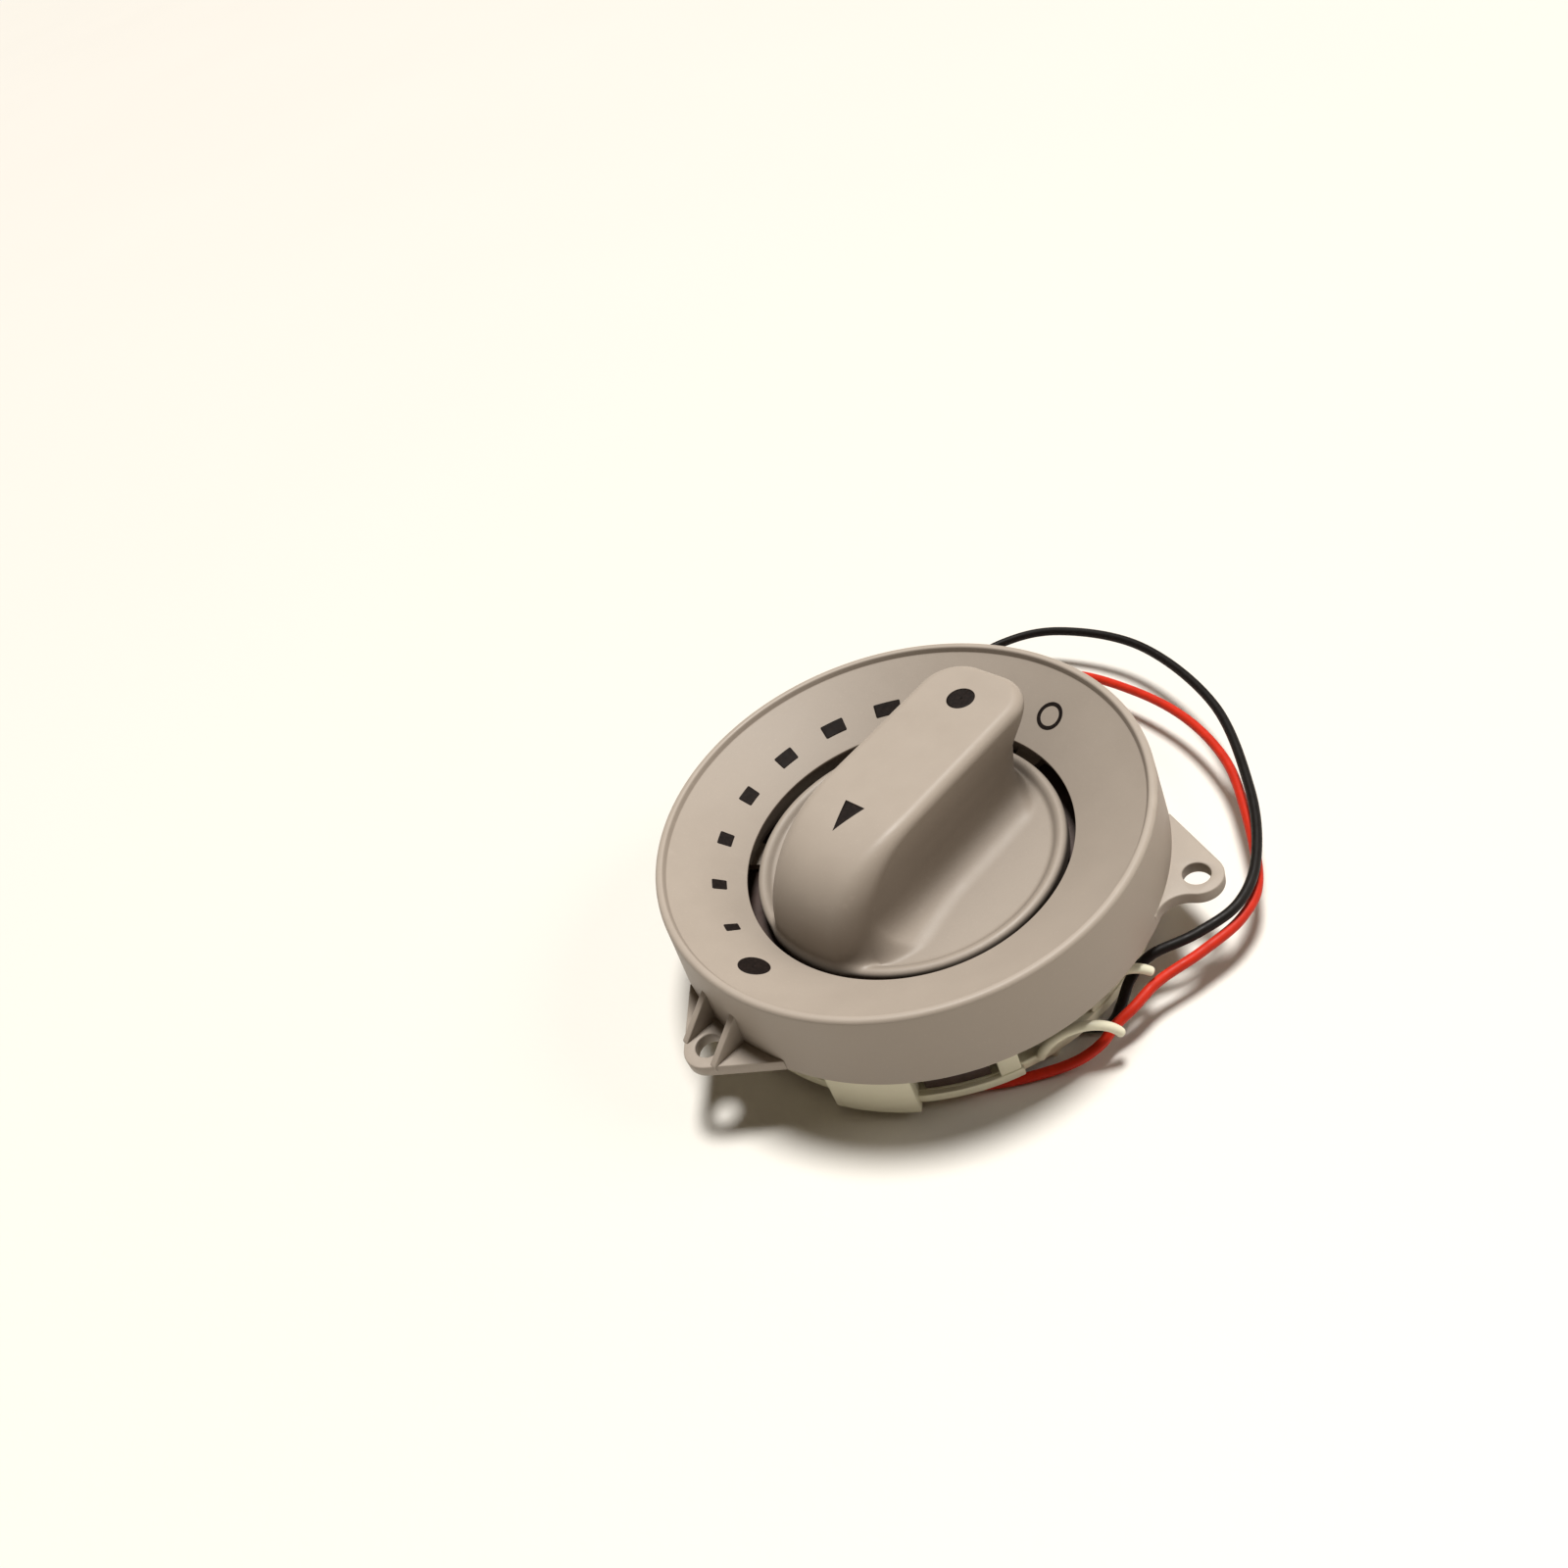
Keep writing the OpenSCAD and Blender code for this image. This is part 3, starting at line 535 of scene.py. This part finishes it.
def bezel_outline():
    under = WALL / math.cos(DIAL_SLOPE)
    well_r = WELL_R + WALL - 0.2
    inner_r = DIAL_R + 0.1
    return rounded([
        (SKIRT_R - WALL, 0, 0.3), (SKIRT_R, 0, 0.3), (RIM_R, RIM_Z, 0.85),
        (DIAL_R + 0.45, RIM_Z, 0.55), (DIAL_R, dial_z(DIAL_R), 0.35), (HOLE_R, HOLE_Z, 0.15),
        (HOLE_R, HOLE_Z - HOLE_EDGE_T, 0.08), (WELL_R, dial_z(WELL_R) - under, 0.3),
        (WELL_R, FLOOR_TOP, 0.4), (BOSS_R, FLOOR_TOP, 0.4), (BOSS_R, BOSS_TOP, 0.2),
        (BUSH_R, BOSS_TOP, 0), (BUSH_R, FLOOR_LOW, 0), (well_r, FLOOR_LOW, 0.3),
        (well_r, dial_z(well_r) - under, 0.8), (inner_r, dial_z(inner_r) - under, 1.0)])


def lug_outline(scooped):
    """Outline of a lug along +X: round end, one straight flank, the other straight or scooped."""
    hole_x = LUG_PCD / 2
    root = polar(SKIRT_R, 17)
    inner = SKIRT_R - 1.6
    end = [(hole_x + p.x, p.y) for p in (polar(LUG_END_R, a) for a in range(-45, 46, 5))]
    if not scooped:
        return end + [(root.x, root.y), (inner - 2, root.y - 2), (inner - 2, 2 - root.y),
                      (root.x, -root.y)]
    end = [(hole_x + p.x, p.y) for p in (polar(LUG_END_R, a) for a in range(-90, 46, 5))]
    scoop_r, scoop_y = 5.9, -10.9
    scoop = [(hole_x + p.x, p.y + scoop_y) for p in (polar(scoop_r, a) for a in range(180, 91, -6))]
    return end + [(root.x, root.y), (inner - 2, root.y - 2), (inner - 2, scoop_y)] + scoop


def lug(angle):
    """A screw lug, held inside the skirt's wall, with its rims rounded."""
    piece = prism("lug", lug_outline(angle == SCOOPED_LUG), 0, LUG_T, BEZEL_GREY)
    inside = drill(SKIRT_R - WALL / 2, 0, 0, -1, LUG_T + 1, BEZEL_GREY, 240)
    hole = drill(LUG_HOLE_R, LUG_PCD / 2, 0, -1, LUG_T + 1, BEZEL_GREY)
    piece = combine(piece, [inside, hole], "DIFFERENCE")
    return turned(bevel(piece, 0.28), angle)


def lug_rib(side):
    """Triangular gusset from the skirt down to the lug, beside its hole."""
    near, thick, foot = 3.7, 1.5, 58.4
    inner = SKIRT_R - WALL / 2 - 0.4
    outline = [(inner, LUG_T / 2), (foot, LUG_T / 2), (foot, LUG_T + 0.1), (inner, 10.5)]
    piece = prism("rib", outline, 0, thick, BEZEL_GREY)
    piece.data.transform(Matrix.Rotation(math.radians(90), 4, "X"))
    shift = near + thick if side > 0 else -near
    piece.data.transform(Matrix.Translation((0, shift * MM, 0)))
    return turned(bevel(piece, 0.22), RIBBED_LUG)


def screw_boss(angle):
    """Boss that hangs from the dial's underside and takes a housing screw."""
    at = polar(SCREW_CIRCLE, angle)
    piece = drill(3.2, at.x, at.y, 0.4, dial_z(SCREW_CIRCLE - 3.2) - 1, BEZEL_GREY, 48)
    return combine(piece, [drill(1.55, at.x, at.y, -1, 6.6, BEZEL_GREY, 32)], "DIFFERENCE")


def drain_slot(angle):
    """Cutter for one open sector of the well's floor."""
    start = angle + (120 - SLOT_SWEEP) / 2
    angles = [start + SLOT_SWEEP * k / 72 for k in range(73)]
    outline = [polar(SLOT_OUT_R, a) for a in angles] + [polar(SLOT_IN_R, a) for a in angles[::-1]]
    return prism("slot", outline, FLOOR_LOW - 1, FLOOR_TOP + 0.3, BEZEL_GREY)


def bezel():
    piece = lathe("bezel_moulding", bezel_outline(), BEZEL_GREY, 288)
    parts = [lug(a) for a in LUG_ANGLES] + [lug_rib(1), lug_rib(-1)]
    parts += [screw_boss(a) for a in SCREW_ANGLES]
    combine(piece, parts, "UNION")
    combine(piece, [drain_slot(a) for a in SCREW_ANGLES], "DIFFERENCE")
    shade_by_angle(piece, 40)
    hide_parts("bezel")
    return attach(piece, "base")


# ---------- ink on the dial ----------

def on_dial(r, a, along, across, lift):
    """Point on the dial: along the slope and across it from radius r and angle a."""
    radius = r + along * math.cos(DIAL_SLOPE)
    angle = a + math.degrees(across / radius)
    out = Vector((-math.sin(DIAL_SLOPE) * lift, 0, math.cos(DIAL_SLOPE) * lift))
    spot = polar(radius, angle, dial_z(radius) + out.z)
    return spot + polar(out.x, angle)


def ink_slab(name, rows, material, place, low=-0.05, high=0.03):
    """Thin closed slab over a grid of rows of flat positions, laid down by place."""
    height, width = len(rows), len(rows[0])
    points = [place(*p, high) for row in rows for p in row]
    points += [place(*p, low) for row in rows for p in row]
    layer = height * width
    faces = []
    for i in range(height - 1):
        for k in range(width - 1):
            q = (i * width + k, i * width + k + 1, (i + 1) * width + k + 1, (i + 1) * width + k)
            faces += [q, tuple(layer + j for j in reversed(q))]
    rim = [k for k in range(width)] + [i * width + width - 1 for i in range(1, height)]
    rim += [(height - 1) * width + k for k in range(width - 2, -1, -1)]
    rim += [i * width for i in range(height - 2, 0, -1)]
    for j, k in zip(rim, rim[1:] + rim[:1]):
        faces.append((k, j, layer + j, layer + k))
    return make(name, points, faces, material)


def disc_rows(radius, inner=0.0, rings=6, sides=64):
    """Rows for a round mark, from its inner rim to its outer rim."""
    inner = max(inner, 0.01)
    return [[((inner + (radius - inner) * i / rings) * math.cos(2 * math.pi * k / sides),
              (inner + (radius - inner) * i / rings) * math.sin(2 * math.pi * k / sides))
             for k in range(sides + 1)] for i in range(rings + 1)]


def bar_rows(width_deg, r, length, steps=14):
    """Rows for one bar with slightly rounded corners."""
    half = math.radians(width_deg) * r / 2
    rows = []
    for i in range(steps + 1):
        along = length * (i / steps - 0.5)
        nip = 0.18 * max(0, abs(2 * i / steps - 1) - 0.85) / 0.15
        flare = 1 + along / r
        rows.append([(along, (half * flare - nip) * (2 * k / steps - 1))
                     for k in range(steps + 1)])
    return rows


def join(name, pieces):
    """One object that holds several meshes."""
    bm = bmesh.new()
    for piece in pieces:
        bm.from_mesh(piece.data)
    material = pieces[0].data.materials[0]
    for piece in pieces:
        bpy.data.objects.remove(piece)
    mesh = bpy.data.meshes.new(name)
    bmesh.ops.remove_doubles(bm, verts=bm.verts, dist=1e-7)
    bm.to_mesh(mesh)
    bm.free()
    mesh.materials.append(material)
    whole = bpy.data.objects.new(name, mesh)
    bpy.context.scene.collection.objects.link(whole)
    return whole


def dial_marks():
    def at(r, a):
        return lambda along, across, lift: on_dial(r, a, along, across, lift)
    marks = [ink_slab("dot", disc_rows(FULL_DOT_R), INK, at(FULL_DOT_CIRCLE, FULL_DOT_A))]
    for i in range(BARS):
        a = FULL_DOT_A - MARK_STEP * (i + 1)
        rows = bar_rows(FIRST_BAR_DEG + BAR_GROWTH_DEG * i, BAR_CIRCLE, BAR_LENGTH)
        marks.append(ink_slab("bar", rows, INK, at(BAR_CIRCLE, a)))
    off = at(RING_CIRCLE, FULL_DOT_A - MARK_STEP * (BARS + 1))
    marks.append(ink_slab("ring", disc_rows(RING_R, RING_IN_R), INK, off))
    piece = join("dial_print", marks)
    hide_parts("dial_marks")
    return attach(piece, "base")


# ---------- knob, in its own frame: u along the grip, away from the arrow ----------

CREST_R, CREST_Z, ROLL_R = 30.6, 5.55, 1.2
NOSE_POWER = 2.7


def dish_top(r):
    return 4.1 + 1.2 * (r / 28.0) ** 2


def disc_field(u, v, z):
    """Dished disc with a rolled lip."""
    r = np.hypot(u, v)
    dish = np.maximum(z - dish_top(r), r - CREST_R)
    lip = np.hypot(r - CREST_R, z - CREST_Z) - ROLL_R
    rim = np.maximum(r - DISC_R, z - CREST_Z)
    return np.minimum(round_join(dish, lip, 1.3), rim)


def grip_field(u, v, z):
    """Bar grip: walls that lean in below a full top, and a nose that runs to the disc's edge."""
    drop = np.maximum(GRIP_Z - z, 0)
    under, foot = ease(drop, 2, 11), np.maximum(drop - 11, 0)
    corner = 8.6
    du = u + 5.2 * under + 0.15 * foot - (GRIP_REACH - corner)
    lean = (0.9 * under + 0.09 * foot) * (1 - ease(-u, 2, 20))
    dv = np.abs(v) + lean - (GRIP_HALF - corner)
    outside = np.hypot(np.maximum(du, 0), np.maximum(dv, 0))
    plan = outside + np.minimum(np.maximum(du, dv), 0) - corner
    ahead = (np.hypot(u, v) - np.abs(u)) * ease(-u, 6, 28) - u
    run = np.maximum(ahead + NOSE_U, 0) / NOSE_LEN
    rise = np.maximum(z, 0) / GRIP_Z
    nose = (np.power(run ** NOSE_POWER + rise ** NOSE_POWER, 1 / NOSE_POWER) - 1) * GRIP_Z
    edge = 2.3 + 2.4 * ease(-u, 4, 26)
    return round_cut(plan, nose, edge)


def knob_field(u, v, z):
    r = np.hypot(u, v)
    grip = grip_field(u, v, z)
    blend = 0.5 + 7.0 * (1 - ease(r, 24.5, 30.8)) + 1.6 * ease(-u, 16, 27)
    solid = round_join(disc_field(u, v, z), grip, blend)
    solid = np.maximum(solid, np.maximum(DISC_LOW - z, np.where(z < CREST_Z, r - DISC_R, -1)))
    hollow = np.maximum(grip + 2.4, 7 - r)
    hollow = np.maximum(hollow, r - 27)
    bore = np.maximum(r - 4.05, z - (GRIP_Z - 6))
    solid = np.maximum(solid, -np.minimum(hollow, bore))
    along = u * math.cos(math.radians(GATE_A)) + v * math.sin(math.radians(GATE_A))
    across = v * math.cos(math.radians(GATE_A)) - u * math.sin(math.radians(GATE_A))
    gate = np.maximum(np.abs(across) - GATE_W / 2,
                      np.maximum(DISC_R - GATE_DEPTH - along, z - GATE_TOP))
    return round_cut(solid, -gate, 0.15)


def knob():
    low, high = (-33, -33, DISC_LOW - 1.2), (35.6, 33, GRIP_Z + 1.2)
    step = 0.42
    piece = field_solid("knob_moulding", knob_field, low, high, step, KNOB_GREY)
    turned(piece, ARROW_A - 180)
    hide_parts("knob")
    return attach(piece, "knob_assembly")


def on_grip(u, v, lift):
    """Point on the grip's top at (u, v), reached by stepping down the vertical."""
    z = GRIP_Z + 1.0
    for _ in range(24):
        z -= float(grip_field(np.array(u), np.array(v), np.array(z)))
    turn = math.radians(ARROW_A - 180)
    return Vector((u * math.cos(turn) - v * math.sin(turn),
                   u * math.sin(turn) + v * math.cos(turn), z + lift))


def knob_marks():
    tip, base, half = -14.7, -7.8, 2.45
    rows = []
    for i in range(13):
        u = tip + (base - tip) * i / 12
        w = max(half * i / 12, 0.02)
        rows.append([(u, 0.4 + w * (2 * k / 8 - 1)) for k in range(9)])
    arrow = ink_slab("arrow", rows, INK, on_grip)
    dot_rows = [[(24.5 + u, 0.2 + v) for u, v in row] for row in disc_rows(GRIP_DOT_R)]
    dot = ink_slab("dot", dot_rows, INK, on_grip)
    piece = join("knob_print", [arrow, dot])
    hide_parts("knob_marks")
    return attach(piece, "knob_assembly")


# ---------- rear carrier ----------

FLANGE_LOW = CARRIER_LOW + 2.5
FLANGE_T = 2.4
FLANGE_TOP = FLANGE_LOW + FLANGE_T


def sector(r_in, r_out, z0, z1, a0, a1, edge=0.25):
    """Block between two radii and two angles."""
    steps = max(2, int((a1 - a0) / 1.5))
    angles = [a0 + (a1 - a0) * k / steps for k in range(steps + 1)]
    outline = [(p.x, p.y) for p in (polar(r_out, a) for a in angles)]
    outline += [(p.x, p.y) for p in (polar(r_in, a) for a in reversed(angles))]
    return bevel(prism("sector", outline, z0, z1, CREAM), edge, 2)


def carrier():
    step_r, wall_r = 46.5, 44.0
    flange = rounded([(30, FLANGE_LOW, 0.3), (step_r, FLANGE_LOW, 0.3),
                      (step_r, FLANGE_TOP, 0.3), (30, FLANGE_TOP, 0.3)], 3)
    piece = lathe("carrier_moulding", flange, CREAM, 240)
    hub = rounded([(6, FLANGE_LOW, 0.3), (13, FLANGE_LOW, 0.3), (13, FLANGE_TOP, 0.3),
                   (6, FLANGE_TOP, 0.3)], 3)
    parts = [lathe("hub", hub, CREAM, 96)]
    for k in range(3):
        t = 120 * k
        parts.append(sector(wall_r, 49, FLANGE_LOW - 1, 1.5, 233 + t, 253 + t, 0.35))
        parts.append(sector(wall_r, 47.2, FLANGE_LOW + 1, 1.4, 272 + t, 277 + t))
        parts.append(sector(wall_r + 0.2, 46.2, FLANGE_LOW + 1, 1.3, 298 + t, 354 + t))
        parts.append(sector(step_r - 1, 47.5, FLANGE_LOW + 0.05, FLANGE_TOP - 0.2, 252 + t,
                            277.5 + t))
        spoke = prism("spoke", [(8, -4), (32, -4), (32, 4), (8, 4)], FLANGE_LOW + 0.2,
                      FLANGE_TOP - 0.2, CREAM)
        parts.append(turned(bevel(spoke, 0.3, 2), 270 + t))
        peg = polar(44.5, 46.5 + t)
        parts.append(bevel(drill(1.2, peg.x, peg.y, CARRIER_LOW, FLANGE_LOW + 1, CREAM, 32), 0.3, 2))
    combine(piece, parts, "UNION")
    cutters = []
    for a in SCREW_ANGLES:
        at = polar(SCREW_CIRCLE, a)
        cutters.append(drill(1.55, at.x, at.y, FLANGE_LOW - 2, FLANGE_TOP + 1, CREAM, 32))
    for a in (252, 288):
        at = polar(36, a)
        cutters.append(drill(2, at.x, at.y, FLANGE_LOW - 1, FLANGE_TOP + 1, CREAM, 32))
    combine(piece, cutters, "DIFFERENCE")
    shade_by_angle(piece, 35)
    return piece


def arch(start, end, rise, steps=24):
    """Points of an arc from start to end that rises above the line between them."""
    half = (end - start).length / 2
    bend_r = (half * half + rise * rise) / (2 * rise)
    sweep = math.asin(half / bend_r)
    along = (end - start).normalized()
    middle = (start + end) / 2
    points = []
    for k in range(steps + 1):
        a = sweep * (2 * k / steps - 1)
        points.append(middle + along * bend_r * math.sin(a)
                      + Vector((0, 0, rise - bend_r + bend_r * math.cos(a))))
    return points


def rear_carrier():
    piece = carrier()
    hook_r = 0.95
    red_hook = tube("red_hook", arch(polar(46.4, 282, -10.8), polar(54.2, 297, -7.8), 5.4),
                    hook_r, CREAM, 20, 0.35)
    black_hook = tube("black_hook", arch(polar(45.4, 303.5, -5.8), polar(52.4, 310.5, -5), 2.35),
                      hook_r, CREAM, 20, 0.35)
    combine(piece, [red_hook, black_hook], "UNION")
    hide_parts("rear_carrier")
    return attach(piece, "base")


# ---------- leads ----------

LEAD_R = 1.0
UNDER = FLANGE_LOW - LEAD_R - 0.2
BLACK_WAY = [polar(37.8, 288.2, UNDER), polar(41.5, 291, UNDER), polar(45, 295.5, UNDER),
             polar(48.6, 299.5, -12.6), polar(49.6, 302.5, -9.2), (30.2, -38.6, -6.5),
             (35.5, -36, -5.2), (44.5, -35.5, -4.3), (54, -32.5, -3.7), (61.5, -23.5, -3.6),
             (68, -6, -4), (72, 21, -4.8), (66, 47.5, -5.5), (52, 64, -6.5), (38, 69, -8),
             (22, 66, -10)]
RED_WAY = [polar(37.8, 252.2, UNDER), polar(41.5, 256, UNDER), polar(44.5, 264, UNDER),
           polar(46.5, 273, UNDER), polar(48.6, 283, -13.1), polar(50.5, 289, -12),
           polar(51.6, 294, -10.3), polar(51.6, 298, -8.8), (28.6, -44, -7.6),
           (34.8, -40.8, -6.9), (44.5, -38, -6.5), (54, -33.8, -6.3), (60.5, -26, -6.4),
           (66, -7, -6.6), (68, 7, -6.8), (66, 22, -7.2), (60, 36.5, -8), (50, 51, -9.4),
           (36, 59, -11)]


def lead(name, way, material, node):
    piece = tube(name, smooth_path(way, 14), LEAD_R, material)
    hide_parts(node)
    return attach(piece, "base")


def ferrules():
    """Crimped sleeves on the free ends, with a bell mouth and two crimp dents."""
    pieces = []
    for way in (BLACK_WAY, RED_WAY):
        end = Vector(way[-1])
        ahead = (end - Vector(way[-2])).normalized()
        path = [end + ahead * 4.5 * k / 40 for k in range(41)]

        def size(share):
            dent = sum(math.exp(-((share - d) / 0.07) ** 2) for d in (0.45, 0.7))
            return LEAD_R * (1.04 + 0.06 * math.exp(-(share / 0.12) ** 2) - 0.14 * dent)
        pieces.append(tube("sleeve", path, size, TINNED, 24, 0.1))
    piece = join("ferrules", pieces)
    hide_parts("lead_ferrules")
    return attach(piece, "base")


# ---------- CAD nodes that keep their mesh ----------

KEPT = {
    "knob_clip": STEEL, "spindle": TURNED_STEEL, "bearing_bush": BRASS, "spindle_seal": RUBBER,
    "wave_washer": STEEL, "circlip": STEEL, "housing_lid": PHENOLIC,
    "contact_housing": PHENOLIC, "contact_board": BOARD, "resistor_track": CARBON,
    "common_ring": COPPER, "rotor": ROTOR_WHITE, "wiper": COPPER, "detent_ball": STEEL,
    "detent_spring": STEEL, "detent_plug": TURNED_STEEL, "contact_lever": COPPER,
    "lever_post": BRASS, "contact_post": BRASS, "terminal_pins": BRASS,
    "housing_screws": ZINC, "lead_cores": COPPER,
}


def dress_cad_nodes():
    """Gives each kept CAD node its material, welded seams and slightly rounded edges."""
    rounding = {"contact_housing": 0.25, "housing_screws": 0.15, "terminal_pins": 0.15}
    for node, material in KEPT.items():
        piece = NODES[node]
        piece.data.materials.clear()
        piece.data.materials.append(material)
        weld = piece.modifiers.new("weld", "WELD")
        weld.merge_threshold = 0.002 * MM
        if node in rounding:
            edge = piece.modifiers.new("edge_rounding", "BEVEL")
            edge.width = rounding[node] * MM
            edge.segments = 2
            edge.limit_method = "ANGLE"
            edge.angle_limit = math.radians(40)


# ---------- floor, light and camera ----------

def stage():
    size = 12000
    floor = make("floor", [(-size, -size, CARRIER_LOW), (size, -size, CARRIER_LOW),
                           (size, size, CARRIER_LOW), (-size, size, CARRIER_LOW)],
                 [(0, 1, 2, 3)], floor_surface("floor"))
    world = bpy.data.worlds.new("studio")
    bpy.context.scene.world = world
    world.use_nodes = True
    sky = world.node_tree.nodes["Background"]
    sky.inputs["Color"].default_value = (1.0, 0.78, 0.52, 1)
    sky.inputs["Strength"].default_value = 0.09
    sun_light("key", 48, 74, 4.0, 15, (1.0, 0.985, 0.95))
    sun_light("side", -12, 34, 0.6, 24, (1.0, 0.95, 0.88))


def sun_light(name, azimuth, elevation, strength, angle, colour):
    """Distant lamp that shines from a plan direction and a height above the floor."""
    a, e = math.radians(azimuth), math.radians(elevation)
    source = Vector((math.cos(a) * math.cos(e), math.sin(a) * math.cos(e), math.sin(e)))
    data = bpy.data.lights.new(name, "SUN")
    data.energy = strength
    data.angle = math.radians(angle)
    data.color = colour
    lamp = bpy.data.objects.new(name, data)
    lamp.rotation_euler = source.to_track_quat("Z", "Y").to_euler()
    bpy.context.scene.collection.objects.link(lamp)


def camera():
    """Camera from the front and above, rolled clockwise. Distance in millimetres."""
    azimuth, elevation, roll, distance = 4.92, 41.04, 23.27, 310.4
    target = Vector((-21.2, 38.6, 0))
    a, e = math.radians(azimuth), math.radians(elevation)
    back = Vector((math.sin(a) * math.cos(e), -math.cos(a) * math.cos(e), math.sin(e)))
    data = bpy.data.cameras.new("camera")
    data.lens, data.sensor_width = 31.5, 36
    data.clip_start, data.clip_end = 0.01, 60
    lens = bpy.data.objects.new("camera", data)
    level = (-back).to_track_quat("-Z", "Y").to_matrix().to_4x4()
    turn = Matrix.Rotation(math.radians(-roll), 4, "Z")
    lens.matrix_world = Matrix.Translation((target + back * distance) * MM) @ level @ turn
    bpy.context.scene.collection.objects.link(lens)
    bpy.context.scene.camera = lens


bezel()
dial_marks()
knob()
knob_marks()
rear_carrier()
lead("lead_black_wire", BLACK_WAY, PVC_BLACK, "lead_black")
lead("lead_red_wire", RED_WAY, PVC_RED, "lead_red")
ferrules()
dress_cad_nodes()
stage()
camera()
bpy.context.scene.view_settings.view_transform = "Standard"
